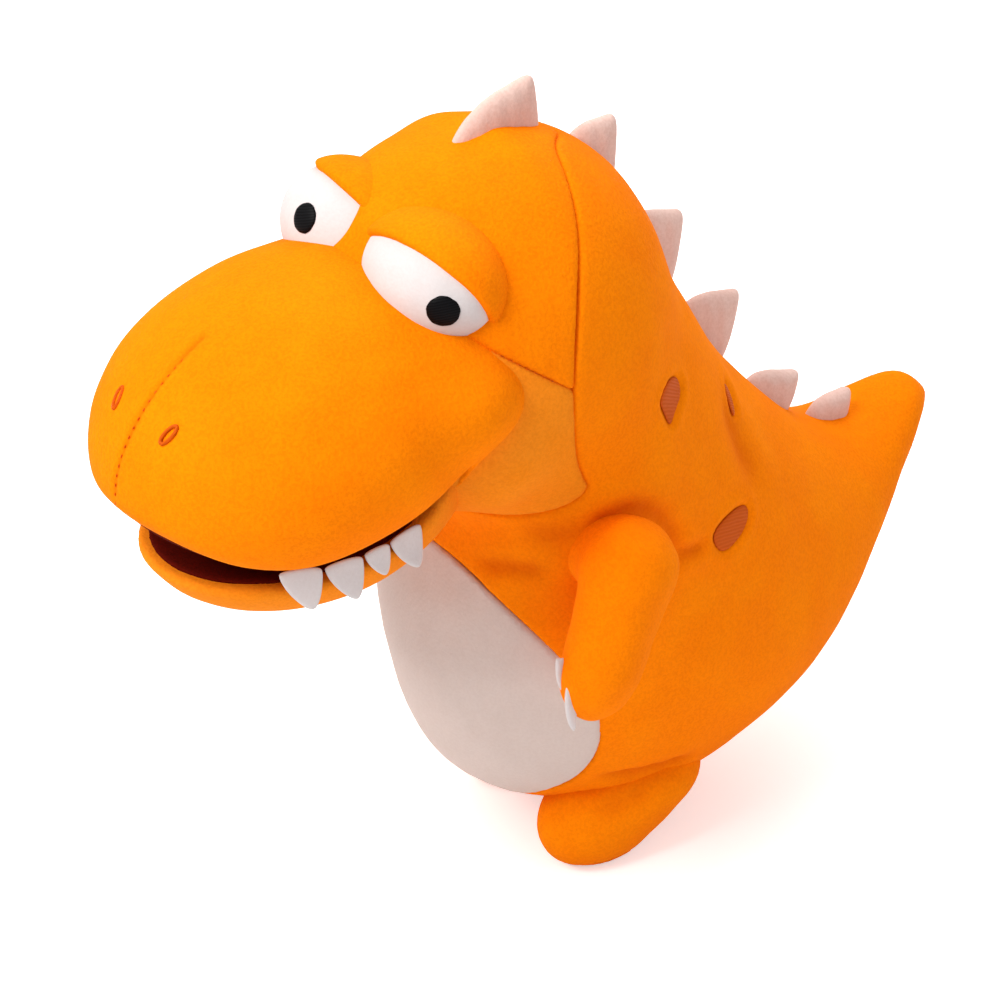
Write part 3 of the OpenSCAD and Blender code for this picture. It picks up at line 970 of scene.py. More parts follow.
@dataclass
class Body:
    """The body and tail cover with its belly panel and sewn-on spots."""

    pitch: float = 1.5
    split_y: float = 58.0
    patch_depth: float = 9.0
    # The panel's outline as seen from belly_focus behind it, measured in the plane belly_plane
    belly_half: Flat = (68.0, 60.0)
    belly_focus: float = 60.0
    belly_plane: float = -45.0
    belly_z: float = BELLY[2]
    belly_low: float = 55.0
    belly_proud: float = 0.35
    belly_overlap: float = 0.2
    # Each spot's outline, (y, z) from the lowest corner of its solid
    spots: dict = field(default_factory=lambda: {
        "shoulder": ((0, 16), (10, 21), (21, 18), (22, 10), (13, 5), (8, 0), (4, 8)),
        "back": ((0, 14), (6, 12), (5, 2), (0, 0)),
        "flank": ((0, 13), (16, 17), (28, 15), (28, 8), (18, 2), (6, 0), (0, 6))})
    spot_shrink: Flat = (0.74, 0.84)
    spot_dip: float = 1.7
    spot_half_thick: float = 0.55
    folds: tuple[Seam, ...] = (
        Seam(((57, -42, 169), (63, -27, 175), (64, -14, 173), (65, -1, 158), (66, -4, 138)),
             1.8, 4.0, 9.0, 0.3),
        Seam(((46, -24, 48), (50, -10, 45), (53, 7, 43), (56, 25, 43)), 2.6, 4.5, 11.0, 0.3),
        Seam(((65, -2, 150), (64, 8, 147), (61, 20, 146)), 2.4, 3.0, 9.0, 0.2),
        Seam(((57, 46, 149), (54, 50, 160), (50, 46, 172), (42, 40, 196)), 2.2, 6.5, 16.0, 0.2),
        Seam(((24, -62, 150), (38, -58, 153), (54, -46, 156)), 1.1, 3.4, 10.0, 0.1),
        Seam(((40, -56, 172), (52, -44, 170), (59, -34, 178)), 0.8, 5.0, 12.0, 0.1))

    def grid(self) -> Grid:
        """The space round the body and tail."""
        return Grid((-76, -80, 2), (76, 196, 316), self.pitch)

    def belly_edge(self, grid: Grid) -> np.ndarray:
        """The belly panel's edge: an egg-shaped cone from behind, negative inside it."""
        (rx, rz), zc = self.belly_half, self.belly_z
        rz = np.where(grid.z < zc, self.belly_low, rz)
        near = (self.belly_focus - self.belly_plane) / np.clip(self.belly_focus - grid.y, 20, None)
        x, z = grid.x * near, (grid.z - zc) * near
        k0 = np.sqrt((x / rx) ** 2 + (z / rz) ** 2)
        k1 = np.sqrt((x / rx ** 2) ** 2 + (z / rz ** 2) ** 2)
        edge = k0 * (k0 - 1) / np.maximum(k1, 1e-4) / near
        return np.maximum(edge, grid.y - 6)

    def shrunk(self, name: str) -> np.ndarray:
        """A spot's outline (y, z) as it shows once the cloth round it has been drawn in."""
        p = np.array(self.spots[name], float) + corner(f"spot_{name}_left")[1:]
        return p.mean(0) + (p - p.mean(0)) * self.spot_shrink

    def spot_edge(self, p: np.ndarray, outline: Sequence[Flat]) -> np.ndarray:
        """Distance of points (y, z) from a spot's outline, negative inside it."""
        line = rounded(outline, 2)
        nearest = np.full(len(p), 1e9)
        inside = np.zeros(len(p), bool)
        for a, b in zip(line, np.roll(line, -1, 0)):
            along = np.clip(((p - a) @ (b - a)) / ((b - a) @ (b - a)), 0, 1)
            nearest = np.minimum(nearest, np.linalg.norm(p - a - along[:, None] * (b - a), axis=1))
            crosses = (a[1] > p[:, 1]) != (b[1] > p[:, 1])
            with np.errstate(divide="ignore", invalid="ignore"):
                edge_y = (b[0] - a[0]) * (p[:, 1] - a[1]) / (b[1] - a[1]) + a[0]
                inside ^= crosses & (p[:, 0] < edge_y)
        return np.where(inside, -nearest, nearest)

    def spot_dent(self, p: np.ndarray, normals: np.ndarray) -> np.ndarray:
        """How far the cloth sinks round the spots."""
        move = np.zeros(len(p))
        on_side = np.abs(normals[:, 0]) > 0.3
        for name in self.spots:
            edge = self.spot_edge(p[:, 1:], self.shrunk(name))
            rim = 0.5 * np.exp(-((edge - 3.4) / 1.6) ** 2)
            move += (rim - self.spot_dip * smooth_step(edge, 2.0, -1.0)) * on_side
        return move

    def build(self) -> list[bpy.types.Object]:
        """Makes the cover in two lengths, the belly panel and the spots.

        Returns:
            The pieces.
        """
        grid = self.grid()
        shell = FORMS.shell(grid)
        patch = np.maximum(self.belly_edge(grid), -(shell + self.patch_depth))
        pieces = self.cover_pieces(grid, shell, patch)
        belly = smooth_max(shell - self.belly_proud, patch, EDGE_ROUND)
        panel = Skin(*grid.skin(belly)).stuff(*PADDING)
        pieces.append(place(to_object("belly_panel_cover", panel.points, panel.faces), PALE, Slot.PALE,
                            ["belly_panel"], body="torso", fill=0.85))
        for side in Side:
            pieces += self.spot_pieces(grid, shell, side)
        return pieces

    def cover_pieces(self, grid: Grid, shell: np.ndarray, patch: np.ndarray) -> list[bpy.types.Object]:
        """The orange cover, split across its back into two lengths.

        Args:
            grid: The block of space.
            shell: The shared form.
            patch: The belly panel's block, cut out of the cover.

        Returns:
            The two lengths.
        """
        cover = smooth_max(shell, -OVERLAP - FORMS.behind_hood(grid), HOOD_ROUND)
        cover = smooth_max(cover, -patch - self.belly_overlap, 1.6)
        skin = Skin(*grid.skin(cover)).sew(self.folds).stuff(*PADDING)
        skin.push(self.spot_dent(skin.points, skin.normals))
        face_y = skin.points[skin.faces].mean(1)[:, 1]
        normals = surface_normals(skin)
        pieces = []
        for name, keep, bend, nodes in (
                ("body_cover", face_y < self.split_y, NECK_BEND,
                 [*both("back"), "body_stuffing", "pellet_bag"]),
                ("hind_cover", face_y >= self.split_y, TAIL_BEND, [*both("tail"), "tail_stuffing"])):
            part = skin.part(keep)
            made = to_object(name, part.points, part.faces, part.seam)
            # One set of normals for both lengths hides the line where they meet
            made.data.normals_split_custom_set_from_vertices(normals[np.unique(skin.faces[keep])].tolist())
            pieces.append(place(made, ORANGE, Slot.ORANGE, nodes, bend=bend, fill=0.85))
        return pieces

    def spot_pieces(self, grid: Grid, form: np.ndarray, side: Side) -> list[bpy.types.Object]:
        """The sewn-on spots of one side, laid on the sunk cloth."""
        pieces = []
        start_x = side.value * 55.0
        for name in self.spots:
            p, faces = pillow(rounded(self.shrunk(name), 2), self.spot_half_thick, 5, 7)
            at = np.stack([np.full(len(p), start_x), p[:, 0], p[:, 1]], 1)
            for _ in range(14):
                at[:, 0] -= side.value * np.clip(grid.sample(form, at), -6, 6)
            _, normals = grid.settle(form, at, 0)
            lift, size, seed = PADDING
            at = at + normals * (p[:, 2:3] - 0.8 + lift * stuffing(at, size, seed)[:, None])
            made = to_object(f"spot_{name}_patch_{side.word}", at, facing_out(at, faces))
            pieces.append(place(made, BROWN, Slot.BROWN, [f"spot_{name}_{side.word}"], body="torso"))
        return pieces


def surface_normals(skin: Skin) -> np.ndarray:
    """Normals at each point of a finished skin, from its faces."""
    p = skin.points
    a, b, c, d = (p[skin.faces[:, k]] for k in range(4))
    face = np.cross(c - a, d - b)
    total = np.zeros_like(p)
    for k in range(4):
        np.add.at(total, skin.faces[:, k], face)
    return total / np.maximum(np.linalg.norm(total, axis=1), 1e-9)[:, None]


@dataclass
class Head:
    """Snout, crown panel, cheek strips, mouth lining, nostrils and the stitching of the face."""

    pitch: float = 1.25
    nose_seam: Seam = Seam(((0, -152, 264), (0, -160, 260), (0, -170, 254), (0, -180, 244),
                            (0, -187, 234), (0, -192, 220), (0, -190, 211)), 0.9, 1.1, 3.0, 0.5, False)
    brow_seam: Seam = Seam(((55, -74, 253.8), (59, -69, 250.1), (61, -64, 246.4), (64.5, -54, 239)), 0.6)
    nostril: Point = (15.0, -178.0, 241.0)
    nostril_half: Flat = (3.9, 1.5)
    nostril_thread: float = 0.7

    def grid(self) -> Grid:
        """The space round the head."""
        return Grid((-72, -200, 150), (72, 4, 312), self.pitch)

    def build(self) -> list[bpy.types.Object]:
        """Makes every sewn piece of the head.

        Returns:
            The pieces.
        """
        grid = self.grid()
        snout_form = smooth_min(grid.egg(FORMS.snout), grid.egg(FORMS.jowls), 8)
        skull = FORMS.shell(grid)
        roof = FORMS.above(grid, FORMS.palate, -1.2)
        pieces = [self.snout(grid, snout_form, roof)]
        pieces += self.crown_and_cheeks(grid, skull)
        pieces.append(self.lining(grid, roof))
        for side in Side:
            pieces.append(self.nostril_ring(grid, snout_form, side))
        for name, form, seam, sides in (("nose_seam_stitches", snout_form, self.nose_seam, [Side.LEFT]),
                                        ("brow_seam_stitches", skull, self.brow_seam, list(Side))):
            made = to_object(name, *stitches(grid, form, seam, sides))
            pieces.append(place(made, BROWN, Slot.BROWN, [], body="head"))
        return pieces

    def snout(self, grid: Grid, form: np.ndarray, roof: np.ndarray) -> bpy.types.Object:
        """The snout, flat below along the mouth's roof and cut off inside the skull."""
        behind_hinge = MOUTH[1] - grid.y
        snout = smooth_max(form, np.where(behind_hinge > 0, -roof, -roof - 40), 6)
        snout = smooth_max(snout, grid.y + 50, 3)
        skin = Skin(*grid.skin(snout)).sew([self.nose_seam]).stuff(0.6, 42, 21)
        return place(to_object("snout_cover", skin.points, skin.faces, skin.seam), ORANGE, Slot.ORANGE,
                     [*both("snout"), "head_stuffing"], body="head", fill=0.9)

    def crown_and_cheeks(self, grid: Grid, skull: np.ndarray) -> list[bpy.types.Object]:
        """The crown panel and, below the brow seam, one cheek strip a side."""
        brow = FORMS.above_brow(grid)
        ahead = smooth_max(skull, FORMS.behind_hood(grid) - OVERLAP, HOOD_ROUND)
        skin = Skin(*grid.skin(smooth_max(ahead, -OVERLAP - brow, EDGE_ROUND))).stuff(*PADDING)
        pieces = [place(to_object("crown_cover", skin.points, skin.faces), ORANGE, Slot.ORANGE,
                        both("crown"), body="head", fill=0.85)]
        cheek = smooth_max(ahead, brow - OVERLAP, EDGE_ROUND)
        for side in Side:
            half = smooth_max(cheek, 4 - side.value * grid.x, 2)
            skin = Skin(*grid.skin(half)).stuff(*PADDING)
            pieces.append(place(to_object(f"cheek_strip_{side.word}", skin.points, skin.faces), BRUSHED,
                                Slot.BRUSHED, [f"cheek_{side.word}"], body="head", fill=0.75))
        return pieces

    def lining(self, grid: Grid, roof: np.ndarray) -> bpy.types.Object:
        """The felt on the mouth's roof, set in from the snout's edge."""
        lining = smooth_max(grid.egg(FORMS.snout, -4.5), np.abs(roof + 0.3) - 1.3, 1.5)
        skin = Skin(*grid.skin(np.maximum(lining, grid.y - MOUTH[1] - 4)))
        return place(to_object("palate_lining", skin.points, skin.faces), LINING, Slot.LINING,
                     ["mouth_lining"], body="head")

    def nostril_ring(self, grid: Grid, form: np.ndarray, side: Side) -> bpy.types.Object:
        """One nostril: an oval of satin stitching."""
        x, y, z = self.nostril
        at = np.array([[side.value * x, y, z]])
        centre, normal = (v[0] for v in grid.settle(form, at, 6))
        along = np.cross(normal, [side.value * 0.35, 0.1, 0.93])
        along /= np.linalg.norm(along)
        up = np.cross(along, normal)
        angle = np.arange(36) * math.tau / 36
        tall, wide = self.nostril_half
        ring = centre + np.outer(tall * np.cos(angle), up) + np.outer(wide * np.sin(angle), along)
        ring, normals = grid.settle(form, ring, 4)
        points, faces = tube(ring + normals * 0.2, self.nostril_thread, closed=True)
        made = to_object(f"nostril_stitching_{side.word}", points, facing_out(points, faces))
        return place(made, BROWN, Slot.BROWN, [f"nostril_{side.word}"], body="head")


@dataclass
class Eyes:
    """White felt eyes under padded lids, with embroidered pupils."""

    lid: float = 2.4
    lid_point: Point = near(EYE, 7, -14, 20.5)
    lid_normal: Point = (-0.10, 0.86, 0.50)
    lid_back: dict = field(default_factory=lambda: {Side.LEFT: 0.0, Side.RIGHT: 7.0})
    lid_curl: dict = field(default_factory=lambda: {Side.LEFT: 0.0, Side.RIGHT: 0.02})
    pupil_r: dict = field(default_factory=lambda: {Side.LEFT: 5.2, Side.RIGHT: 6.0})
    # Where each pupil looks: degrees outwards and upwards
    aims: dict = field(default_factory=lambda: {Side.LEFT: (61.0, 1.4), Side.RIGHT: (-3.0, 26.4)})
    pitch: float = 0.8

    def build(self) -> list[bpy.types.Object]:
        """Makes both eyes.

        Returns:
            The pieces.
        """
        pieces = []
        for side in Side:
            egg = FORMS.eye if side is Side.LEFT else FORMS.eye.mirrored()
            reach = np.array(egg.half) + self.lid + 3
            low, high = np.array(egg.middle) - reach, np.array(egg.middle) + reach
            grid = Grid(tuple(low), tuple(high), self.pitch)
            ball = smooth_max(grid.egg(egg), 0.05 - side.value * grid.x, 1.2)
            skin = Skin(*grid.skin(ball)).stuff(0.25, 18, 51)
            pieces.append(place(to_object(f"eyeball_{side.word}", skin.points, skin.faces), WHITE, Slot.WHITE,
                                [f"eye_{side.word}"], body="head", fill=1.0))
            pieces.append(self.lid_piece(grid, egg, side))
            pieces.append(self.pupil(egg, side))
        return pieces

    def lid_piece(self, grid: Grid, egg: Egg, side: Side) -> bpy.types.Object:
        """The lid: a padded shell over the back of one eye."""
        nx, ny, nz = self.lid_normal
        px, py, pz = self.lid_point
        behind = (grid.x - side.value * px) * nx * side.value + (grid.y - py) * ny + (grid.z - pz) * nz
        outer = np.clip(side.value * grid.x - px, 0, None)
        edge = self.lid_back[side] + self.lid_curl[side] * outer ** 2 - behind
        lid = smooth_max(grid.egg(egg, self.lid), edge, 2.2)
        lid = smooth_max(lid, 0.05 - side.value * grid.x, 1.6)
        skin = Skin(*grid.skin(lid)).stuff(0.3, 22, 61)
        made = to_object(f"eyelid_cover_{side.word}", skin.points, skin.faces)
        return place(made, ORANGE, Slot.ORANGE, [f"eyelid_{side.word}"], body="head", fill=0.8)

    def pupil(self, egg: Egg, side: Side) -> bpy.types.Object:
        """The satin-stitched pupil, a low dome that follows the eye."""
        out, up = (math.radians(v) for v in self.aims[side])
        aim = np.array([side.value * math.sin(out) * math.cos(up), -math.cos(out) * math.cos(up),
                        math.sin(up)])
        along = np.cross([0, 0, 1], aim)
        along /= np.linalg.norm(along)
        over = np.cross(aim, along)
        angle = np.arange(40) * math.tau / 40
        edge = 1 + 0.012 * np.sin(5 * angle) + 0.01 * np.sin(11 * angle + 1)
        disc = np.stack([np.cos(angle), np.sin(angle)], 1) * (self.pupil_r[side] * edge)[:, None]
        p, faces = pillow(disc, 0.9, 4, 8)
        half = np.array(egg.half)
        ways = aim * half.mean() + np.outer(p[:, 0], along) + np.outer(p[:, 1], over)
        ways /= np.linalg.norm(ways / half, axis=1)[:, None]
        normals = ways / half ** 2
        normals /= np.linalg.norm(normals, axis=1)[:, None]
        points = np.array(egg.middle) + ways + normals * (p[:, 2:3] + 0.1)
        made = to_object(f"pupil_stitching_{side.word}", points, facing_out(points, faces))
        return place(made, BLACK, Slot.BLACK, [f"pupil_{side.word}"], body="head")


@dataclass
class Jaw:
    """The padded lower jaw, its lining and the felt teeth that hang from the lip."""

    pitch: float = 1.25
    # Each tooth: (y, z) of its root's middle from the jaw's hinge, size, degrees that its tip leans back
    teeth: tuple = ((-63.5, -12.0, 1.0, 0.0), (-49.0, -12.0, 1.0, 4.0), (-36.5, -11.0, 0.72, 6.0),
                    (-24.5, -9.0, 1.0, 8.0))
    tooth_size: Flat = (13.5, 14.5)
    clear: float = 2.6
    felt: float = 1.9

    def build(self) -> list[bpy.types.Object]:
        """Makes the jaw, its lining and the teeth.

        Returns:
            The pieces.
        """
        grid = Grid((-58, -190, 146), (58, -58, 212), self.pitch)
        chin = grid.egg(FORMS.chin)
        top = FORMS.above(grid, FORMS.jaw_top)
        cover = smooth_max(smooth_max(chin, top, 4), grid.y + 68, 4)
        skin = Skin(*grid.skin(cover)).stuff(0.5, 34, 71)
        pieces = [place(to_object("jaw_padding", skin.points, skin.faces), BRUSHED, Slot.ORANGE,
                        ["jaw_cover", "jaw_stuffing"], bend=JAW_BEND, fill=0.8)]
        lining = smooth_max(grid.egg(FORMS.chin, -4.5), np.abs(top - 0.2) - 1.2, 1.5)
        lining = np.maximum(lining, grid.y - MOUTH[1])
        skin = Skin(*grid.skin(lining))
        pieces.append(place(to_object("jaw_bed_lining", skin.points, skin.faces), LINING, Slot.LINING,
                            ["jaw_lining"], bend=JAW_BEND))
        for side in Side:
            points, faces = joined([self.tooth(side, *row) for row in self.teeth])
            made = to_object(f"felt_teeth_{side.word}", points, faces)
            pieces.append(place(made, WHITE, Slot.WHITE, [f"teeth_{side.word}"], body="head"))
        return pieces

    def tooth(self, side: Side, root_y: float, root_z: float, size: float, lean: float) -> Mesh:
        """One tooth: a leaf of felt with a blunt tip, bent round the jaw's wall.

        Args:
            side: Which side of the mouth.
            root_y: Y of the root's middle, from the jaw's hinge.
            root_z: Z of the root's middle, from the jaw's hinge.
            size: Share of the full size.
            lean: Degrees that the tip leans back.

        Returns:
            Points and faces.
        """
        w, h = (v * size for v in self.tooth_size)
        _, root_y, root_z = near(MOUTH, 0, root_y, root_z)
        outline = rounded(((-w / 2, 1), (w / 2, 1), (w * 0.53, -h * 0.25), (w * 0.42, -h * 0.72),
                           (w * 0.22, -h * 1.02), (w * 0.02, -h * 0.98), (-w * 0.3, -h * 0.6),
                           (-w * 0.48, -h * 0.2)), 3)
        p, faces = pillow(outline, self.felt / 2, 8, 7)
        turn = math.radians(lean)
        y = root_y + p[:, 0] * math.cos(turn) - p[:, 1] * math.sin(turn)
        z = root_z + p[:, 1] * math.cos(turn) + p[:, 0] * math.sin(turn)
        rx, ry = FORMS.chin.half[0] - 3 + self.clear, FORMS.chin.half[1] + self.clear
        wall = rx * np.sqrt(np.clip(1 - ((y - FORMS.chin.middle[1]) / ry) ** 2, 0.01, 1))
        flare = 0.012 * np.clip(root_z - z, 0, None) ** 2
        x = wall + p[:, 2] + flare
        return np.stack([side.value * x, y, z], 1), faces


@dataclass
class Spikes:
    """The row of padded fins along the back seam."""

    half_thick: float = 4.6
    # How far each fin's root is let into the body
    sunk: float = 11.0
    # Each fin: name, body, then front, back and tip as (y, z)
    fins: tuple = (
        ("crown", "head", (-50, 306), (-13, 298), (-17, 320)),
        ("neck", "torso", (-1, 289), (21, 263), (21, 294)),
        ("shoulder", "torso", (27, 251), (51, 215), (55, 245)),
        ("back", "torso", (58, 205), (79, 175), (85, 202)),
        ("rump", "torso", (93, 161), (115, 140), (118, 155)),
        ("tail", "tail", (125, 132), (147, 126), (147, 137)))

    def build(self) -> list[bpy.types.Object]:
        """Makes every fin.

        Returns:
            The pieces.
        """
        pieces = []
        for k, (name, body, front, back, tip) in enumerate(self.fins):
            front, back, tip = (np.array(v, float) for v in (front, back, tip))
            root = back - front
            down = np.array([-root[1], root[0]]) / np.linalg.norm(root)
            down = down if down @ (tip - back) < 0 else -down
            sunk = down * self.sunk
            outline = rounded((front + sunk, front, front + (tip - front) * 0.5 + [-3.2, 3.0],
                               front + (tip - front) * 0.86 + [-1.0, 1.2], tip + [0.8, 0.6],
                               tip + (back - tip) * 0.22 + [1.6, 0], back + [0.4, 0], back + sunk), 3)
            p, faces = pillow(outline, self.half_thick, 2.6, 12)
            sway = 0.8 * math.sin(1.7 * k + 0.6)
            height = np.clip((p[:, :2] - front) @ -down, 0, None)
            x = p[:, 2] + sway * (height / 30) ** 2
            x = x + 0.18 * np.sin(p[:, 0] * 0.9 + k) * np.abs(p[:, 2]) / self.half_thick
            points = np.stack([x, p[:, 0], p[:, 1]], 1)
            made = to_object(f"fin_{name}", points, facing_out(points, faces))
            pieces.append(place(made, FELT, Slot.FELT, [f"spike_{name}"], body=body, fill=0.6))
        return pieces


def hull_faces(eggs: Sequence[Egg]) -> tuple[np.ndarray, np.ndarray]:
    """The tight wrap round several eggs, as points and triangles."""
    turns = np.linspace(0, math.pi, 22)
    rounds = np.arange(44) * math.tau / 44
    ball = np.array([(math.sin(t) * math.cos(a), math.sin(t) * math.sin(a), math.cos(t))
                     for t in turns for a in rounds])
    points = np.concatenate([egg.world(ball * np.array(egg.half)) for egg in eggs])
    bm = bmesh.new()
    for p in points:
        bm.verts.new(p)
    bmesh.ops.convex_hull(bm, input=bm.verts)
    bmesh.ops.delete(bm, geom=[v for v in bm.verts if not v.link_faces], context="VERTS")
    bmesh.ops.triangulate(bm, faces=bm.faces)
    bm.verts.index_update()
    wrap = np.array([v.co for v in bm.verts]), np.array([[v.index for v in f.verts] for f in bm.faces])
    bm.free()
    return wrap


@dataclass
class Arms:
    """The two stub arms with their felt claws."""

    upper: Egg = Egg(near(SHOULDER, 1.8, -2, -3), (18, 19, 21))
    lower: Egg = Egg(near(SHOULDER, 8.8, -17, -32), (13, 15, 22), -20)
    shoulder: Egg = Egg(near(SHOULDER, -9.2, 0, 0), (20, 15, 15))
    inner_x: float = 67.6
    pitch: float = 1.0
    # The seam round the arm's outer panel, from the shoulder's joint
    edge: tuple = ((12.8, 16, 6), (14.8, 9, -12), (16.8, -4, -36), (12.8, -13, -52))
    # Each claw: root from the shoulder's joint, half length, degrees of lean
    claws: tuple = (((3.3, -31, -30), 9.5, 20.0), ((8.8, -31, -38), 12.0, 30.0))

    def build(self) -> list[bpy.types.Object]:
        """Makes both arms.

        Returns:
            The pieces.
        """
        grid = Grid((38, -68, 100), (98, -6, 184), self.pitch)
        points, faces = hull_faces([self.upper, self.lower])
        form = smooth_max(grid.closed_mesh(points, faces), self.inner_x - grid.x, 7)
        form = smooth_min(form, grid.egg(self.shoulder), 10)
        p, normals, quads = grid.skin(form)
        edge = Seam(tuple(near(SHOULDER, *p) for p in self.edge), 0.9, 1.6, 3.6, 0.4, False)
        pieces = []
        for side in Side:
            skin = Skin(p.copy(), normals.copy(), quads.copy()).sew([edge]).stuff(0.8, 24, 81 + side.value)
            flipped = skin.points * [side.value, 1, 1]
            made = to_object(f"arm_cover_{side.word}", flipped, facing_quads(skin.faces, side), skin.seam)
            nodes = [f"{n}_{side.word}" for n in ("arm_outer", "arm_inner", "arm_stuffing")]
            pieces.append(place(made, ORANGE, Slot.ORANGE, nodes, body=f"arm_{side.word}", fill=0.8))
            points, faces = joined([self.claw(side, near(SHOULDER, *root), reach, lean)
                                    for root, reach, lean in self.claws])
            made = to_object(f"felt_claws_{side.word}", points, faces)
            pieces.append(place(made, WHITE, Slot.FELT, [f"claws_{side.word}"], body=f"arm_{side.word}"))
        return pieces

    def claw(self, side: Side, root: Point, reach: float, lean: float) -> Mesh:
        """One claw: a slim curved leaf of felt."""
        along = np.linspace(0, 1, 16)
        width = 3.0 * np.sqrt(np.clip(1 - along ** 2.2, 0, 1)) + 0.25
        upper = np.stack([along * reach * 1.5, width], 1)
        lower = np.stack([along * reach * 1.5, -width], 1)[::-1]
        p, faces = pillow(np.concatenate([upper, lower]), 1.15, 4, 6)
        bend = p[:, 0] ** 2 * 0.018
        turn = math.radians(lean)
        u, v = p[:, 0] - 4, p[:, 1] - bend
        y = root[1] - u * math.sin(turn) * 0.75 - v * math.cos(turn)
        z = root[2] - u * math.cos(turn) + v * math.sin(turn)
        x = root[0] + p[:, 2] + 0.12 * u
        return np.stack([side.value * x, y, z], 1), faces


def facing_quads(faces: np.ndarray, side: Side) -> np.ndarray:
    """Faces in the order that a mirrored copy needs."""
    return faces if side is Side.LEFT else faces[:, ::-1]


@dataclass
class Legs:
    """The two short legs with their flat soles."""

    foot: Egg = Egg(near(SOLE, 0, 1.5, 16.5), (19.5, 29, 21), 6)
    thigh: Egg = Egg(near(SOLE, 5, 17.5, 27), (18, 25, 16), 14)
    sole_z: float = 3.4
    pitch: float = 1.1
    # How far the right leg is pressed in and back by the way the toy sits, in mm
    tucked: Point = (6.0, 8.0, 0.0)
    folds: tuple[Seam, ...] = (
        Seam(((30, -34, 26), (38, -30, 32), (47, -20, 40)), 1.6, 3.2, 9.0, 0.3, False),
        Seam(((46, -22, 30), (52, -10, 34), (55, 4, 36)), 1.4, 3.6, 9.0, 0.3, False))

    def build(self) -> list[bpy.types.Object]:
        """Makes both legs.

        Returns:
            The pieces.
        """
        grid = Grid((8, -42, -4), (64, 42, 50), self.pitch)
        points, faces = hull_faces([self.foot, self.thigh])
        form = smooth_max(grid.closed_mesh(points, faces), -grid.z, 3)
        upper = smooth_max(form, self.sole_z + 0.15 - grid.z, 1.6)
        lower = smooth_max(form, grid.z - self.sole_z + 0.15, 1.6)
        pieces = []
        for name, values, nodes, folds, fill in (
                ("leg_padding", upper, ("leg_cover", "leg_stuffing"), self.folds, 0.8),
                ("sole_pad", lower, ("sole",), (), 0.6)):
            p, normals, quads = grid.skin(values)
            for side in Side:
                skin = Skin(p.copy(), normals.copy(), quads.copy())
                if folds:
                    skin.sew(folds).stuff(0.7, 22, 91 + side.value)
                skin.stand_on()
                shift = np.array(self.tucked) if side is Side.RIGHT else 0.0
                made = to_object(f"{name}_{side.word}", skin.points * [side.value, 1, 1] + shift,
                                 facing_quads(skin.faces, side), skin.seam)
                pieces.append(place(made, ORANGE, Slot.ORANGE, [f"{n}_{side.word}" for n in nodes],
                                    body=f"leg_{side.word}", fill=fill))
        return pieces


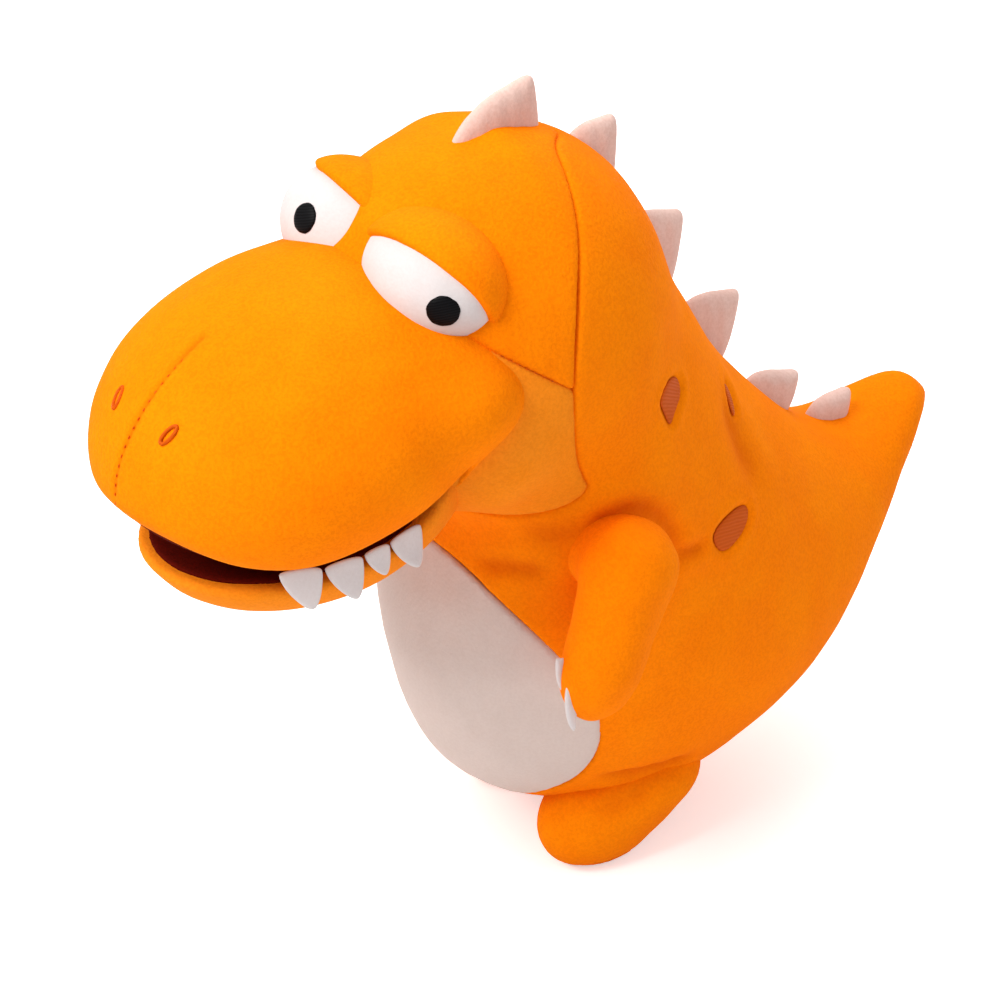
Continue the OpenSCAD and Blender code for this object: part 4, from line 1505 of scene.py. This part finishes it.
@dataclass
class Studio:
    """Pale floor, soft light and the camera."""

    target: Point = (0.0, -0.0295, 0.1518)
    azimuth: float = 52.0
    elevation: float = 32.0
    distance: float = 1.2
    lens: float = 116.64
    floor_half: float = 6.0
    # Each lamp: metres right of the target, towards the camera and up, then its size, power and colour
    lamps: tuple = (("key", -0.75, 0.45, 1.05, 0.8, 20.0, (1.0, 0.98, 0.95)),
                    ("fill", 1.1, 0.7, 0.35, 1.2, 2.2, (1.0, 0.97, 0.95)),
                    ("rim", 0.3, -0.8, 0.9, 0.9, 9.0, (1.0, 1.0, 1.0)))

    def build(self) -> None:
        """Makes the floor, the light and the camera."""
        a, e = math.radians(self.azimuth), math.radians(self.elevation)
        back = Vector((math.sin(a) * math.cos(e), -math.cos(a) * math.cos(e), math.sin(e)))
        right = Vector((math.cos(a), math.sin(a), 0))
        aim = Vector(self.target)
        data = bpy.data.cameras.new("camera")
        data.lens = self.lens
        data.sensor_width = 36.0
        camera = bpy.data.objects.new("camera", data)
        bpy.context.scene.collection.objects.link(camera)
        camera.location = aim + back * self.distance
        camera.rotation_euler = (-back).to_track_quat("-Z", "Y").to_euler()
        bpy.context.scene.camera = camera
        flat = Vector((back.x, back.y, 0)).normalized()
        for name, across, ahead, up, size, power, colour in self.lamps:
            self.lamp(name, aim + right * across + flat * ahead + Vector((0, 0, up)), size, power, colour)
        self.floor()
        self.sky()

    def lamp(self, name: str, at: Vector, size: float, power: float, colour: tuple) -> None:
        """A square soft box that faces the toy."""
        data = bpy.data.lights.new(name, "AREA")
        data.shape, data.size, data.energy, data.color = "SQUARE", size, power, colour
        lamp = bpy.data.objects.new(name, data)
        lamp.location = at
        lamp.rotation_euler = (Vector(self.target) - at).to_track_quat("-Z", "Y").to_euler()
        bpy.context.scene.collection.objects.link(lamp)

    def floor(self) -> None:
        """A wide pale floor."""
        h = self.floor_half
        mesh = bpy.data.meshes.new("floor")
        mesh.from_pydata([(-h, -h, 0), (h, -h, 0), (h, h, 0), (-h, h, 0)], [], [(0, 1, 2, 3)])
        floor = bpy.data.objects.new("floor", mesh)
        bpy.context.scene.collection.objects.link(floor)
        paint = bpy.data.materials.new("pale_floor")
        paint.use_nodes = True
        n = Nodes(paint.node_tree)
        seen = n.add("ShaderNodeLightPath").outputs["Is Camera Ray"]
        glow = n.math("MULTIPLY", seen, 0.45)
        shader = n.add("ShaderNodeBsdfPrincipled", {
            "Base Color": (0.92, 0.92, 0.92, 1), "Roughness": 0.9, "Specular IOR Level": 0.1,
            "Emission Color": (1, 1, 1, 1), "Emission Strength": glow})
        n.add("ShaderNodeOutputMaterial", {"Surface": shader.outputs[0]})
        mesh.materials.append(paint)

    def sky(self) -> None:
        """Even white light from all round."""
        world = bpy.data.worlds.new("sky")
        world.use_nodes = True
        n = Nodes(world.node_tree)
        seen = n.add("ShaderNodeLightPath").outputs["Is Camera Ray"]
        strength = n.math("ADD", 0.55, n.math("MULTIPLY", seen, 0.45))
        light = n.add("ShaderNodeBackground", {"Color": (1, 1, 1, 1), "Strength": strength})
        n.add("ShaderNodeOutputWorld", {"Surface": light.outputs[0]})
        bpy.context.scene.world = world
        bpy.context.scene.view_settings.view_transform = "Standard"


def main() -> None:
    """Builds the toy, then the studio."""
    logging.basicConfig(level=logging.INFO, format="%(name)s %(message)s")
    Studio().build()
    for assembly in (Body(), Head(), Eyes(), Jaw(), Spikes(), Arms(), Legs()):
        for piece in assembly.build():
            LOG.info("%s: %s, %d faces", type(assembly).__name__, piece.name, len(piece.data.polygons))


if __name__ == "__main__":
    main()
